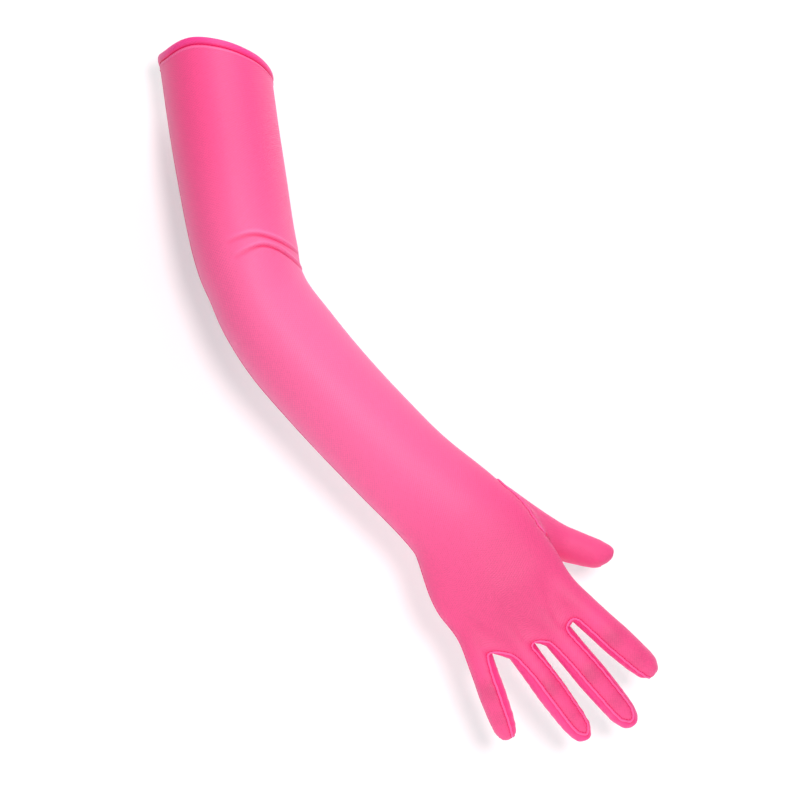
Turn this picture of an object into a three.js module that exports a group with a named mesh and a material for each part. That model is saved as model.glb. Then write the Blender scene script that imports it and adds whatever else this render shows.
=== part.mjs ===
import * as THREE from 'three';

// A long stretch glove for the right hand, in millimetres. It keeps the shape of a worn glove:
// upper arm, bent elbow, forearm, wrist, palm, four spread fingers and a thumb, hollow all through.
// X runs to the thumb side, Z up the arm and Y away from the back of the hand.
// The origin is the middle of the arm opening.

// Cloth and seams
const CLOTH_THICKNESS = 1.0;
const HEM_THICKNESS = 1.9;
const HEM_PROUD = 0.5;
const HEM_HEIGHT = 4.6;
const SEAM_GAP = 0.36;

// Arm
const ARM_LENGTH = 362;
const ARM_WIDTH = 72;
const ARM_DEPTH = 76;
const HEM_SLANT = 11;
const HEM_SLANT_FADE = 90;

// Hand
const HAND_LENGTH = 100;
const HAND_WIDTH = 86;
const HAND_DEPTH = 32;
const THUMB_HOLE_LENGTH = 43;

// Fingers
const FINGER_LENGTH = 82;
const FINGER_WIDTH = 20.6;
const FINGER_DEPTH = 17.6;
const CROTCH_DIP = 3;

// Thumb
const THUMB_LENGTH = 58;
const THUMB_WIDTH = 27;
const THUMB_DEPTH = 22;

// Sections of the arm, from the opening to the wrist.
// along: share of ARM_LENGTH; swing: degrees to the thumb side of straight down;
// lean: degrees towards the viewer; width and depth: shares of ARM_WIDTH and ARM_DEPTH;
// shift: share of ARM_WIDTH that the middle lies towards the thumb
const ARM_SECTIONS = [
  { along: 0.00, swing: 9, lean: 15, width: 1.03, depth: 1.15, shift: 0 },
  { along: 0.12, swing: 9, lean: 15, width: 1.02, depth: 1.12, shift: 0 },
  { along: 0.24, swing: 10, lean: 14, width: 1.00, depth: 1.08, shift: 0.008 },
  { along: 0.34, swing: 12, lean: 12, width: 0.97, depth: 1.02, shift: 0.008 },
  { along: 0.39, swing: 15, lean: 10, width: 0.945, depth: 1.00, shift: 0.012 },
  { along: 0.43, swing: 24, lean: 8, width: 0.90, depth: 0.98, shift: 0.010 },
  { along: 0.48, swing: 32, lean: 6, width: 0.90, depth: 0.96, shift: -0.014 },
  { along: 0.56, swing: 37, lean: 4, width: 0.935, depth: 0.93, shift: -0.016 },
  { along: 0.66, swing: 42, lean: 3, width: 0.925, depth: 0.88, shift: -0.014 },
  { along: 0.78, swing: 46, lean: 2, width: 0.92, depth: 0.78, shift: -0.028 },
  { along: 0.90, swing: 48, lean: 1, width: 0.93, depth: 0.65, shift: -0.052 },
  { along: 1.00, swing: 42, lean: 0, width: 1.01, depth: 0.57, shift: -0.036 },
];

// The hem's edge. along: share of a turn from the palm side round by the little-finger side;
// drop: how far the hem hangs down the arm there, as a share of HEM_SLANT
const HEM_EDGE = [
  { along: 0.00, drop: 0.00 },
  { along: 0.25, drop: -1.00 },
  { along: 0.35, drop: -0.52 },
  { along: 0.45, drop: -0.45 },
  { along: 0.54, drop: 0.08 },
  { along: 0.63, drop: 0.64 },
  { along: 0.75, drop: 1.00 },
  { along: 1.00, drop: 0.00 },
];

// Sections of the hand, from the wrist to the finger roots.
// along: share of HAND_LENGTH; width and depth: shares of HAND_WIDTH and HAND_DEPTH;
// shift: share of HAND_WIDTH that the middle lies towards the thumb
const HAND_SECTIONS = [
  { along: 0.00, width: 0.86, depth: 1.36, shift: -0.03 },
  { along: 0.18, width: 0.97, depth: 1.22, shift: -0.015 },
  { along: 0.40, width: 1.01, depth: 1.06, shift: -0.03 },
  { along: 0.70, width: 1.04, depth: 0.90, shift: -0.03 },
  { along: 1.00, width: 1.06, depth: 0.72, shift: -0.01 },
];
const HAND_SWING = 32;
const HAND_LEAN = -2;

// Share of the hand over which the wrist's turn fades, and where the fingers start to show
const WRIST_TURN = 0.55;
const FINGERS_SHOW_FROM = 0.55;

// Fingers from the little finger to the index finger.
// root: share of HAND_LENGTH; across: share of HAND_WIDTH, towards the thumb;
// splay: degrees from the hand's line; length: share of FINGER_LENGTH; width: share of
// FINGER_WIDTH and FINGER_DEPTH; roll: degrees that the back panel is turned towards the thumb
// side; bend: degrees that the finger turns sideways between root and tip
const FINGERS = [
  { root: 0.84, across: -0.443, splay: -13, length: 0.775, width: 0.86, roll: -12, bend: 2 },
  { root: 0.955, across: -0.152, splay: 4, length: 0.96, width: 0.97, roll: 20, bend: 0 },
  { root: 1.00, across: 0.14, splay: 8, length: 1.02, width: 1.03, roll: 11, bend: 0 },
  { root: 0.945, across: 0.405, splay: 15.5, length: 0.84, width: 1.03, roll: 0, bend: 1 },
];
const FINGER_CURL_AT_ROOT = -4;
const FINGER_CURL_AT_TIP = 20;

// The roll comes in between these shares of a finger's length
const ROLL_FROM = -0.1;
const ROLL_TO = 0.35;

// Girth of a finger and of the thumb along their length, as shares of their width and depth
const FINGER_GIRTH = [
  { along: 0.00, girth: 1.00 },
  { along: 0.14, girth: 0.99 },
  { along: 0.30, girth: 0.99 },
  { along: 0.46, girth: 1.01 },
  { along: 0.62, girth: 0.97 },
  { along: 0.76, girth: 0.92 },
  { along: 0.87, girth: 0.83 },
  { along: 0.94, girth: 0.68 },
  { along: 0.98, girth: 0.48 },
];
const THUMB_GIRTH = [
  { along: 0.00, girth: 1.16 },
  { along: 0.12, girth: 1.01 },
  { along: 0.25, girth: 0.93 },
  { along: 0.38, girth: 0.87 },
  { along: 0.52, girth: 0.83 },
  { along: 0.66, girth: 0.78 },
  { along: 0.79, girth: 0.73 },
  { along: 0.89, girth: 0.64 },
  { along: 0.96, girth: 0.47 },
];

// Where the thumb leaves the hand: shares of HAND_LENGTH, HAND_WIDTH and HAND_DEPTH
const THUMB_ROOT = { along: 0.37, across: 0.385, back: 0.62 };
const THUMB_SPLAY = 39.5;
const THUMB_CURL_AT_ROOT = 5;
const THUMB_CURL_AT_TIP = 2;

// How the edge of the thumb's hole turns into the thumb's own oval: the share of its length that
// this takes, how much of the thumb's line the edge follows, and how far the web is lifted
const THUMB_BLEND = 0.42;
const THUMB_CARRIED = 0.8;
const WEB_LIFT = 5;
const WEB_LIFT_UNTIL = 0.2;

// Half the angles that the back and palm panels span round a finger, and round the thumb
const BACK_PANEL_HALF_ANGLE = 38;
const PALM_PANEL_HALF_ANGLE = 44;
const THUMB_PANEL_HALF_ANGLE = 36;

// Soft folds at the inner side of the elbow.
// along: share of ARM_LENGTH at the back; from, to: degrees round the arm, 0 at the back and 90
// at the thumb side; bow: share of ARM_LENGTH that the middle rises; drop: share of ARM_LENGTH
// that the thumb side hangs lower; dropFrom, dropTo: degrees between which it comes down
const ELBOW_FOLDS = [
  { along: 0.380, from: -16, to: 112, bow: 0.006, drop: 0.036, dropFrom: 5, dropTo: 85 },
  { along: 0.404, from: -12, to: 124, bow: 0.011, drop: 0.053, dropFrom: 18, dropTo: 88 },
];
const FOLD_DEPTH = 1.7;
const FOLD_WIDTH = 4.2;

// The ridge above each fold, as shares of its width and depth, and how quickly the ends fade
const FOLD_RIDGE_AT = 1.3;
const FOLD_RIDGE = 0.55;
const FOLD_FADE = 0.7;

// Mesh rows and columns
const PANEL_EDGES = 3;
const FINGER_PITCH = PANEL_EDGES + 1;
const BACK_POINTS = FINGERS.length * FINGER_PITCH;
const SIDE_EDGES = 3;
const RING_POINTS = 2 * (BACK_POINTS + SIDE_EDGES - 1);
const ROW_STEP = 17;
const FOLD_ROW_STEP = 3.4;
const FOLD_ROWS_FROM = 0.34;
const FOLD_ROWS_TO = 0.47;
const HAND_ROWS = 9;
const THUMB_HOLE_ROWS = 4;
const THUMB_HOLE_COLUMNS = 6;
const SPINE_STEPS = 200;
const DIGIT_STEPS = 12;

// Where two seams meet, a corner is drawn back by at most the seam gap divided by twice this
const LEAST_MITRE = 0.5;

const radians = THREE.MathUtils.degToRad;
const lerp = THREE.MathUtils.lerp;
const smoothstep = THREE.MathUtils.smoothstep;

// Value of a table column at a share, on a smooth curve through the rows
function lookUp(table, column, share) {
  let row = 0;
  while (row < table.length - 2 && share > table[row + 1].along) row += 1;
  const before = table[Math.max(row - 1, 0)];
  const start = table[row];
  const end = table[row + 1];
  const after = table[Math.min(row + 2, table.length - 1)];
  const span = end.along - start.along;
  const t = THREE.MathUtils.clamp((share - start.along) / span, 0, 1);
  const slopeIn = (end[column] - before[column]) / (end.along - before.along);
  const slopeOut = (after[column] - start[column]) / (after.along - start.along);
  const t2 = t * t;
  const t3 = t2 * t;
  return (2 * t3 - 3 * t2 + 1) * start[column] + (t3 - 2 * t2 + t) * span * slopeIn
    + (3 * t2 - 2 * t3) * end[column] + (t3 - t2) * span * slopeOut;
}

// Directions along, across and through the arm or hand, from its swing and lean in degrees
function directions(swing, lean) {
  const s = radians(swing);
  const l = radians(lean);
  const along = new THREE.Vector3(Math.sin(s) * Math.cos(l), -Math.sin(l), -Math.cos(s) * Math.cos(l));
  const through = new THREE.Vector3(0, 1, 0).addScaledVector(along, Math.sin(l)).normalize();
  const across = new THREE.Vector3().crossVectors(along, through);
  return { along, across, through };
}

// Point on an oval section: 0 degrees is the back, 90 the thumb side, 180 the palm
function ovalPoint(frame, width, depth, degrees) {
  const angle = radians(degrees);
  return frame.centre.clone()
    .addScaledVector(frame.across, 0.5 * width * Math.sin(angle))
    .addScaledVector(frame.through, -0.5 * depth * Math.cos(angle));
}

// Angle of a ring column, evenly spaced and symmetrical about the back
function ringAngle(column) {
  return (column - 0.5 * (BACK_POINTS - 1)) * (360 / RING_POINTS);
}

// Centre line of the arm, stepped down from the opening
const spine = [new THREE.Vector3()];
for (let step = 0; step < SPINE_STEPS; step += 1) {
  const share = (step + 0.5) / SPINE_STEPS;
  const heading = directions(
    lookUp(ARM_SECTIONS, 'swing', share), lookUp(ARM_SECTIONS, 'lean', share)).along;
  spine.push(spine[step].clone().addScaledVector(heading, ARM_LENGTH / SPINE_STEPS));
}

function armFrame(share) {
  const place = THREE.MathUtils.clamp(share * SPINE_STEPS, 0, SPINE_STEPS - 1e-6);
  const step = Math.floor(place);
  const centre = spine[step].clone().lerp(spine[step + 1], place - step);
  const swing = lookUp(ARM_SECTIONS, 'swing', share);
  const lean = lookUp(ARM_SECTIONS, 'lean', share);
  return { centre, ...directions(swing, lean) };
}

// How deep the elbow folds press the cloth in at a place on the arm
function foldDepth(share, degrees) {
  let depth = 0;
  for (const fold of ELBOW_FOLDS) {
    const t = (degrees - fold.from) / (fold.to - fold.from);
    if (t <= 0 || t >= 1) continue;
    const arch = Math.sin(Math.PI * t);
    const down = smoothstep(degrees, fold.dropFrom, fold.dropTo);
    const middle = fold.along - fold.bow * arch + fold.drop * down;
    const away = (share - middle) * ARM_LENGTH / FOLD_WIDTH;
    const strength = arch ** FOLD_FADE;
    const groove = Math.exp(-(away ** 2));
    const ridge = FOLD_RIDGE * Math.exp(-((away + FOLD_RIDGE_AT) ** 2));
    depth += FOLD_DEPTH * strength * (groove - ridge);
  }
  return depth;
}

function armPoint(share, column) {
  const frame = armFrame(share);
  const degrees = ringAngle(column);
  const turn = THREE.MathUtils.euclideanModulo(degrees + 180, 360) / 360;
  const fade = 1 - smoothstep(share * ARM_LENGTH, 0, HEM_SLANT_FADE);
  frame.centre.addScaledVector(frame.along, HEM_SLANT * lookUp(HEM_EDGE, 'drop', turn) * fade);
  frame.centre.addScaledVector(frame.across, ARM_WIDTH * lookUp(ARM_SECTIONS, 'shift', share));
  const pressed = 2 * foldDepth(share, degrees);
  const width = ARM_WIDTH * lookUp(ARM_SECTIONS, 'width', share) - pressed;
  const depth = ARM_DEPTH * lookUp(ARM_SECTIONS, 'depth', share) - pressed;
  return ovalPoint(frame, width, depth, degrees);
}

// Shares of the arm's length at which the sleeve has a row of points
function armRows() {
  const rows = [0, HEM_HEIGHT / ARM_LENGTH];
  const stops = [FOLD_ROWS_FROM, FOLD_ROWS_TO, 1];
  const steps = [ROW_STEP, FOLD_ROW_STEP, ROW_STEP];
  for (let part = 0; part < stops.length; part += 1) {
    const start = rows[rows.length - 1];
    const count = Math.ceil((stops[part] - start) * ARM_LENGTH / steps[part]);
    for (let i = 1; i <= count; i += 1) {
      rows.push(lerp(start, stops[part], i / count));
    }
  }
  return rows;
}

// The hand's own axes at the wrist
const wrist = { centre: spine[SPINE_STEPS], ...directions(HAND_SWING, HAND_LEAN) };

function handFrame(distance) {
  return { ...wrist, centre: wrist.centre.clone().addScaledVector(wrist.along, distance) };
}

// Frame of a digit at a share of its length, from its root, splay, bend and curl
function digitFrame(digit, share) {
  const centre = digit.root.clone();
  let frame = null;
  for (let i = 0; i <= DIGIT_STEPS; i += 1) {
    const here = share * i / DIGIT_STEPS;
    const splay = radians(digit.splay + digit.bend * here);
    const curl = radians(lerp(digit.curlAtRoot, digit.curlAtTip, here));
    const level = wrist.along.clone().multiplyScalar(Math.cos(splay))
      .addScaledVector(wrist.across, Math.sin(splay));
    const along = level.clone().multiplyScalar(Math.cos(curl))
      .addScaledVector(wrist.through, Math.sin(curl));
    const through = wrist.through.clone().multiplyScalar(Math.cos(curl))
      .addScaledVector(level, -Math.sin(curl));
    frame = { along, through, across: new THREE.Vector3().crossVectors(along, through) };
    if (i < DIGIT_STEPS) centre.addScaledVector(along, digit.length * share / DIGIT_STEPS);
  }
  return { ...frame, centre };
}

// Angles round a digit of its ring points: back panel, outer side, palm panel, inner side
function digitAngles(acrossEdges, sideEdges, backHalf, palmHalf, roll) {
  const corners = [-backHalf, backHalf, 180 - palmHalf, 180 + palmHalf, 360 - backHalf];
  const edges = [acrossEdges, sideEdges, acrossEdges, sideEdges];
  const angles = [];
  edges.forEach((count, side) => {
    for (let i = 0; i < count; i += 1) {
      angles.push(lerp(corners[side], corners[side + 1], i / count) + roll);
    }
  });
  return angles;
}

// The finger digits, with their roots placed on the hand
const fingers = FINGERS.map((row) => ({
  root: handFrame(row.root * HAND_LENGTH).centre.addScaledVector(wrist.across, row.across * HAND_WIDTH),
  splay: row.splay,
  bend: row.bend,
  curlAtRoot: FINGER_CURL_AT_ROOT,
  curlAtTip: FINGER_CURL_AT_TIP,
  length: row.length * FINGER_LENGTH,
  width: row.width * FINGER_WIDTH,
  depth: row.width * FINGER_DEPTH,
  roll: row.roll,
  rootDistance: row.root * HAND_LENGTH,
}));

const thumb = {
  root: handFrame(THUMB_ROOT.along * HAND_LENGTH).centre
    .addScaledVector(wrist.across, THUMB_ROOT.across * HAND_WIDTH)
    .addScaledVector(wrist.through, THUMB_ROOT.back * HAND_DEPTH),
  splay: THUMB_SPLAY,
  bend: 0,
  curlAtRoot: THUMB_CURL_AT_ROOT,
  curlAtTip: THUMB_CURL_AT_TIP,
  length: THUMB_LENGTH,
  width: THUMB_WIDTH,
  depth: THUMB_DEPTH,
};

// Points of one ring of a finger, in the order back, thumb side, palm, little-finger side
function fingerRing(finger, share) {
  const frame = digitFrame(finger, share);
  const girth = lookUp(FINGER_GIRTH, 'girth', share);
  const roll = finger.roll * smoothstep(share, ROLL_FROM, ROLL_TO);
  const angles = digitAngles(
    PANEL_EDGES, SIDE_EDGES, BACK_PANEL_HALF_ANGLE, PALM_PANEL_HALF_ANGLE, roll);
  return angles.map((angle) => ovalPoint(frame, finger.width * girth, finger.depth * girth, angle));
}

// The finger, and the place in its root ring, that a column of the hand runs into
function fingerOfColumn(column) {
  const palmStart = BACK_POINTS + SIDE_EDGES - 1;
  const last = FINGERS.length - 1;
  if (column < BACK_POINTS) {
    return { finger: Math.floor(column / FINGER_PITCH), place: column % FINGER_PITCH };
  }
  if (column < palmStart) {
    return { finger: last, place: column - BACK_POINTS + FINGER_PITCH };
  }
  if (column < palmStart + BACK_POINTS) {
    const inPalm = column - palmStart;
    return {
      finger: last - Math.floor(inPalm / FINGER_PITCH),
      place: PANEL_EDGES + SIDE_EDGES + inPalm % FINGER_PITCH,
    };
  }
  return { finger: 0, place: 2 * PANEL_EDGES + SIDE_EDGES + 1 + column - palmStart - BACK_POINTS };
}

const rootRings = fingers.map((finger) => fingerRing(finger, 0));

// A point of the hand: the oval of the palm turns into the fingers' own ovals near their roots
function handPoint(share, column) {
  const { finger, place } = fingerOfColumn(column);
  const distance = share * fingers[finger].rootDistance;
  const along = distance / HAND_LENGTH;
  const width = HAND_WIDTH * lookUp(HAND_SECTIONS, 'width', along);
  const depth = HAND_DEPTH * lookUp(HAND_SECTIONS, 'depth', along);
  const frame = handFrame(distance);
  frame.centre.addScaledVector(wrist.across, HAND_WIDTH * lookUp(HAND_SECTIONS, 'shift', along));
  const palm = ovalPoint(frame, width, depth, ringAngle(column));
  const fingerLine = rootRings[finger][place].clone().addScaledVector(
    digitFrame(fingers[finger], 0).along, distance - fingers[finger].rootDistance);
  return palm.lerp(fingerLine, smoothstep(share, FINGERS_SHOW_FROM, 1));
}

// One surface for the whole glove: points, and four-cornered faces that each belong to a piece
const points = [];
const faces = [];

function addPoint(point) {
  points.push(point);
  return points.length - 1;
}

function addFace(piece, a, b, c, d) {
  faces.push({ piece, corners: [a, b, c, d] });
}

// Faces between two rings of the same number of points; pieceAt names the piece of each column
function joinRings(upper, lower, pieceAt) {
  upper.forEach((corner, i) => {
    const next = (i + 1) % upper.length;
    if (pieceAt(i)) addFace(pieceAt(i), corner, lower[i], lower[next], upper[next]);
  });
}

// Closed rounded end of a digit: a patch across its last ring, pushed out along the digit
function closeTip(ring, acrossEdges, sideEdges, outwards, pieceAt) {
  const grid = [];
  for (let m = 0; m <= sideEdges; m += 1) {
    const row = [];
    for (let n = 0; n <= acrossEdges; n += 1) {
      if (m === 0) row.push(ring[n]);
      else if (m === sideEdges) row.push(ring[2 * acrossEdges + sideEdges - n]);
      else if (n === acrossEdges) row.push(ring[acrossEdges + m]);
      else if (n === 0) row.push(ring[ring.length - m]);
      else row.push(null);
    }
    grid.push(row);
  }
  for (let m = 1; m < sideEdges; m += 1) {
    for (let n = 1; n < acrossEdges; n += 1) {
      const v = m / sideEdges;
      const u = n / acrossEdges;
      const fromSides = points[grid[m][0]].clone().lerp(points[grid[m][acrossEdges]], u);
      const fromPanels = points[grid[0][n]].clone().lerp(points[grid[sideEdges][n]], v);
      const swell = Math.sqrt(Math.sin(Math.PI * u) * Math.sin(Math.PI * v));
      grid[m][n] = addPoint(fromSides.lerp(fromPanels, 0.5).addScaledVector(outwards, swell));
    }
  }
  for (let m = 0; m < sideEdges; m += 1) {
    for (let n = 0; n < acrossEdges; n += 1) {
      addFace(pieceAt(n), grid[m][n + 1], grid[m][n], grid[m + 1][n], grid[m + 1][n + 1]);
    }
  }
}

// Hem and sleeve, opening to wrist
const columns = Array.from({ length: RING_POINTS }, (_, column) => column);
const armShares = armRows();
const rings = armShares.map((share) => columns.map((column) => addPoint(armPoint(share, column))));
for (let row = 0; row < rings.length - 1; row += 1) {
  joinRings(rings[row], rings[row + 1], () => (row === 0 ? 'hem_band' : 'sleeve_and_hand'));
}

// Hand, wrist to finger roots, with a hole on the thumb side where the thumb is set in
const holeShare = THUMB_HOLE_LENGTH / HAND_LENGTH;
const holeColumn = BACK_POINTS;
const handShares = [];
for (let row = 1; row <= THUMB_HOLE_ROWS; row += 1) {
  handShares.push(holeShare * row / THUMB_HOLE_ROWS);
}
for (let row = 1; row <= HAND_ROWS - THUMB_HOLE_ROWS; row += 1) {
  handShares.push(lerp(holeShare, 1, row / (HAND_ROWS - THUMB_HOLE_ROWS)));
}
const firstWristRing = rings.length - 1;
handShares.forEach((share, row) => {
  const turning = 1 - smoothstep(share, 0, WRIST_TURN);
  rings.push(columns.map((column) => {
    const step = points[rings[firstWristRing][column]].clone().sub(handPoint(0, column));
    return addPoint(handPoint(share, column).addScaledVector(step, turning));
  }));
  joinRings(rings[rings.length - 2], rings[rings.length - 1], (column) => {
    const inHole = column >= holeColumn && column < holeColumn + THUMB_HOLE_COLUMNS;
    return row < THUMB_HOLE_ROWS && inHole ? null : 'sleeve_and_hand';
  });
});
const rootRow = rings[rings.length - 1];

// Finger root rings: hand columns on the back, palm and outer sides, new points in the webs
const fingerRoots = fingers.map(() => []);
rootRow.forEach((corner, column) => {
  const { finger, place } = fingerOfColumn(column);
  fingerRoots[finger][place] = corner;
});
fingerRoots.forEach((ring, finger) => {
  const dip = digitFrame(fingers[finger], 0).along.multiplyScalar(CROTCH_DIP);
  rootRings[finger].forEach((point, place) => {
    if (ring[place] === undefined) ring[place] = addPoint(point.clone().add(dip));
  });
});

// Webs between the fingers, part of the strip that runs round them
for (let finger = 0; finger < fingers.length - 1; finger += 1) {
  const near = fingerRoots[finger];
  const far = fingerRoots[finger + 1];
  for (let i = 0; i < SIDE_EDGES; i += 1) {
    const nearHere = near[PANEL_EDGES + i];
    const nearNext = near[PANEL_EDGES + i + 1];
    const farHere = far[(far.length - i) % far.length];
    const farNext = far[far.length - i - 1];
    addFace('finger_strip', farHere, nearHere, nearNext, farNext);
  }
}

// Fingers: back and palm panels belong to the hand; the strip is between them and round the tips,
// but the outer sides and tips of the little and index fingers are the hand's own cloth
fingers.forEach((finger, number) => {
  const isLittle = number === 0;
  const isIndex = number === fingers.length - 1;
  const pieceAt = (column) => {
    const side = column < PANEL_EDGES ? 'back'
      : column < PANEL_EDGES + SIDE_EDGES ? 'thumb side'
        : column < 2 * PANEL_EDGES + SIDE_EDGES ? 'palm' : 'little side';
    if (side === 'thumb side') return isIndex ? 'sleeve_and_hand' : 'finger_strip';
    if (side === 'little side') return isLittle ? 'sleeve_and_hand' : 'finger_strip';
    return 'sleeve_and_hand';
  };
  let previous = fingerRoots[number];
  for (const { along } of FINGER_GIRTH.slice(1)) {
    const ring = fingerRing(finger, along).map(addPoint);
    joinRings(previous, ring, pieceAt);
    previous = ring;
  }
  const tip = digitFrame(finger, 1);
  const end = FINGER_GIRTH[FINGER_GIRTH.length - 1];
  const outwards = tip.along.multiplyScalar(finger.length * (1 - end.along));
  closeTip(previous, PANEL_EDGES, SIDE_EDGES, outwards,
    () => (isLittle || isIndex ? 'sleeve_and_hand' : 'finger_strip'));
});

// Thumb: its first ring is the edge of the hole, which turns into the thumb's own oval
const hole = [];
const lastHoleColumn = holeColumn + THUMB_HOLE_COLUMNS;
for (let row = THUMB_HOLE_ROWS; row > 0; row -= 1) {
  hole.push(rings[firstWristRing + row][holeColumn]);
}
for (let c = holeColumn; c < lastHoleColumn; c += 1) {
  hole.push(rings[firstWristRing][c]);
}
for (let row = 0; row < THUMB_HOLE_ROWS; row += 1) {
  hole.push(rings[firstWristRing + row][lastHoleColumn]);
}
for (let c = lastHoleColumn; c > holeColumn; c -= 1) {
  hole.push(rings[firstWristRing + THUMB_HOLE_ROWS][c]);
}
const thumbAngles = digitAngles(
  THUMB_HOLE_ROWS, THUMB_HOLE_COLUMNS, THUMB_PANEL_HALF_ANGLE, THUMB_PANEL_HALF_ANGLE, 0);
let thumbRing = hole;
for (const { along, girth } of THUMB_GIRTH.slice(1)) {
  const frame = digitFrame(thumb, along);
  const travelled = frame.centre.clone().sub(thumb.root);
  const blend = smoothstep(along, 0, THUMB_BLEND);
  const ring = thumbAngles.map((angle, i) => {
    const own = ovalPoint(frame, thumb.width * girth, thumb.depth * girth, angle);
    const carried = points[hole[i]].clone().addScaledVector(travelled, THUMB_CARRIED);
    const facesIndex = 0.5 * (1 - Math.sin(radians(angle)));
    const lift = WEB_LIFT * facesIndex * facesIndex * smoothstep(along, 0, WEB_LIFT_UNTIL);
    carried.addScaledVector(wrist.through, lift);
    return addPoint(carried.lerp(own, blend));
  });
  joinRings(thumbRing, ring, () => 'thumb');
  thumbRing = ring;
}
const thumbEnd = THUMB_GIRTH[THUMB_GIRTH.length - 1];
const thumbTip = digitFrame(thumb, 1).along.multiplyScalar(thumb.length * (1 - thumbEnd.along));
closeTip(thumbRing, THUMB_HOLE_ROWS, THUMB_HOLE_COLUMNS, thumbTip, () => 'thumb');

// Outward normal at each point of the whole surface
const normals = points.map(() => new THREE.Vector3());
for (const { corners } of faces) {
  const [a, b, c, d] = corners.map((corner) => points[corner]);
  const normal = new THREE.Vector3().crossVectors(c.clone().sub(a), d.clone().sub(b));
  corners.forEach((corner) => normals[corner].add(normal));
}
normals.forEach((normal) => normal.normalize());

// One piece of cloth with a wall: its faces outside and inside, and rims along its cut edges.
// Edges that meet another piece are drawn back by half of the seam gap.
function clothPiece(name, proud, thickness) {
  const own = faces.filter((face) => face.piece === name);
  const edgeKey = (a, b) => `${a}_${b}`;
  const directed = new Set();
  own.forEach(({ corners }) => corners.forEach((corner, i) => {
    directed.add(edgeKey(corner, corners[(i + 1) % 4]));
  }));
  const drawBack = new Map();
  const rims = [];
  own.forEach(({ corners }) => corners.forEach((corner, i) => {
    const next = corners[(i + 1) % 4];
    if (directed.has(edgeKey(next, corner))) return;
    rims.push([corner, next]);
    if (rings[0].includes(corner) && rings[0].includes(next)) return;
    const edge = points[next].clone().sub(points[corner]).normalize();
    [corner, next].forEach((end) => {
      const inwards = new THREE.Vector3().crossVectors(normals[end], edge).normalize();
      if (!drawBack.has(end)) drawBack.set(end, []);
      drawBack.get(end).push(inwards);
    });
  }));

  const used = [...new Set(own.flatMap(({ corners }) => corners))];
  const place = new Map(used.map((corner, i) => [corner, i]));
  const positions = [];
  for (const layer of [proud, proud - thickness]) {
    for (const corner of used) {
      const point = points[corner].clone().addScaledVector(normals[corner], layer);
      const directionsIn = drawBack.get(corner) || [];
      if (directionsIn.length) {
        const middle = directionsIn.reduce((sum, v) => sum.add(v), new THREE.Vector3()).normalize();
        const mitre = Math.max(middle.dot(directionsIn[0]), LEAST_MITRE);
        point.addScaledVector(middle, 0.5 * SEAM_GAP / mitre);
      }
      positions.push(point.x, point.y, point.z);
    }
  }

  const inside = used.length;
  const triangles = [];
  own.forEach(({ corners }) => {
    const [a, b, c, d] = corners.map((corner) => place.get(corner));
    triangles.push(a, b, c, a, c, d);
    triangles.push(inside + a, inside + c, inside + b, inside + a, inside + d, inside + c);
  });
  rims.forEach(([from, to]) => {
    const a = place.get(from);
    const b = place.get(to);
    triangles.push(b, a, inside + a, b, inside + a, inside + b);
  });

  const geometry = new THREE.BufferGeometry();
  geometry.setAttribute('position', new THREE.Float32BufferAttribute(positions, 3));
  geometry.setIndex(triangles);
  geometry.computeVertexNormals();
  return geometry;
}

// Finishes
function pinkCloth(colour, roughness) {
  return new THREE.MeshStandardMaterial({ color: colour, roughness, metalness: 0, side: THREE.DoubleSide });
}

function piece(name, geometry, material) {
  const mesh = new THREE.Mesh(geometry, material);
  mesh.name = name;
  return mesh;
}

const glove = new THREE.Group();
glove.add(piece('hem_band',
  clothPiece('hem_band', HEM_PROUD, HEM_THICKNESS), pinkCloth(0xf23f93, 0.6)));
glove.add(piece('sleeve_and_hand',
  clothPiece('sleeve_and_hand', 0, CLOTH_THICKNESS), pinkCloth(0xf56aa6, 0.62)));
glove.add(piece('finger_strip',
  clothPiece('finger_strip', 0, CLOTH_THICKNESS), pinkCloth(0xf0559c, 0.62)));
glove.add(piece('thumb',
  clothPiece('thumb', 0, CLOTH_THICKNESS), pinkCloth(0xf56aa6, 0.62)));

export default glove;
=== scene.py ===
import math

import bpy
import numpy as np
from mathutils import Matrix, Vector, noise
from mathutils.bvhtree import BVHTree


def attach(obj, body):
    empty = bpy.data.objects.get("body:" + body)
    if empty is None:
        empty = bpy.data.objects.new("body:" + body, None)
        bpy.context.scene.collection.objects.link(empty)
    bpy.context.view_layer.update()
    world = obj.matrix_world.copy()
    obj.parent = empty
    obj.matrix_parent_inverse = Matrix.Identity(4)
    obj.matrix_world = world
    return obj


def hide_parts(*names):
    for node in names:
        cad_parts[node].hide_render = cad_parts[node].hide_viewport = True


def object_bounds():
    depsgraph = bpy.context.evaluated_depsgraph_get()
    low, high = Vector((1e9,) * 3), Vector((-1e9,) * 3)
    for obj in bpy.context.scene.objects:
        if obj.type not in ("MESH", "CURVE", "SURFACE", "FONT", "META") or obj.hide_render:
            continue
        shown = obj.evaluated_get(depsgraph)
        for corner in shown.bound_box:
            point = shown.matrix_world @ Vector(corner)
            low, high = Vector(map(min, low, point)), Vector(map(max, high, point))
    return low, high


# A long stretch glove for the right hand, in metres. The shape follows the same named sizes and
# tables as the solids, with a finer mesh, and adds seams, stitches, finer folds and puckers.
# The arm, hand, fingers and thumb named here are the glove's own parts.
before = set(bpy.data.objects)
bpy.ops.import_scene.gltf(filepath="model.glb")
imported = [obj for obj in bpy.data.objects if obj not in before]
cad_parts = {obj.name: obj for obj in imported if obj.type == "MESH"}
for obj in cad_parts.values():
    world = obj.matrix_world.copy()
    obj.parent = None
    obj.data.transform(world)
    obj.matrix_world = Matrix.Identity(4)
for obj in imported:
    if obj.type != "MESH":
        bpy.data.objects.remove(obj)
solids_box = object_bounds()

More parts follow.
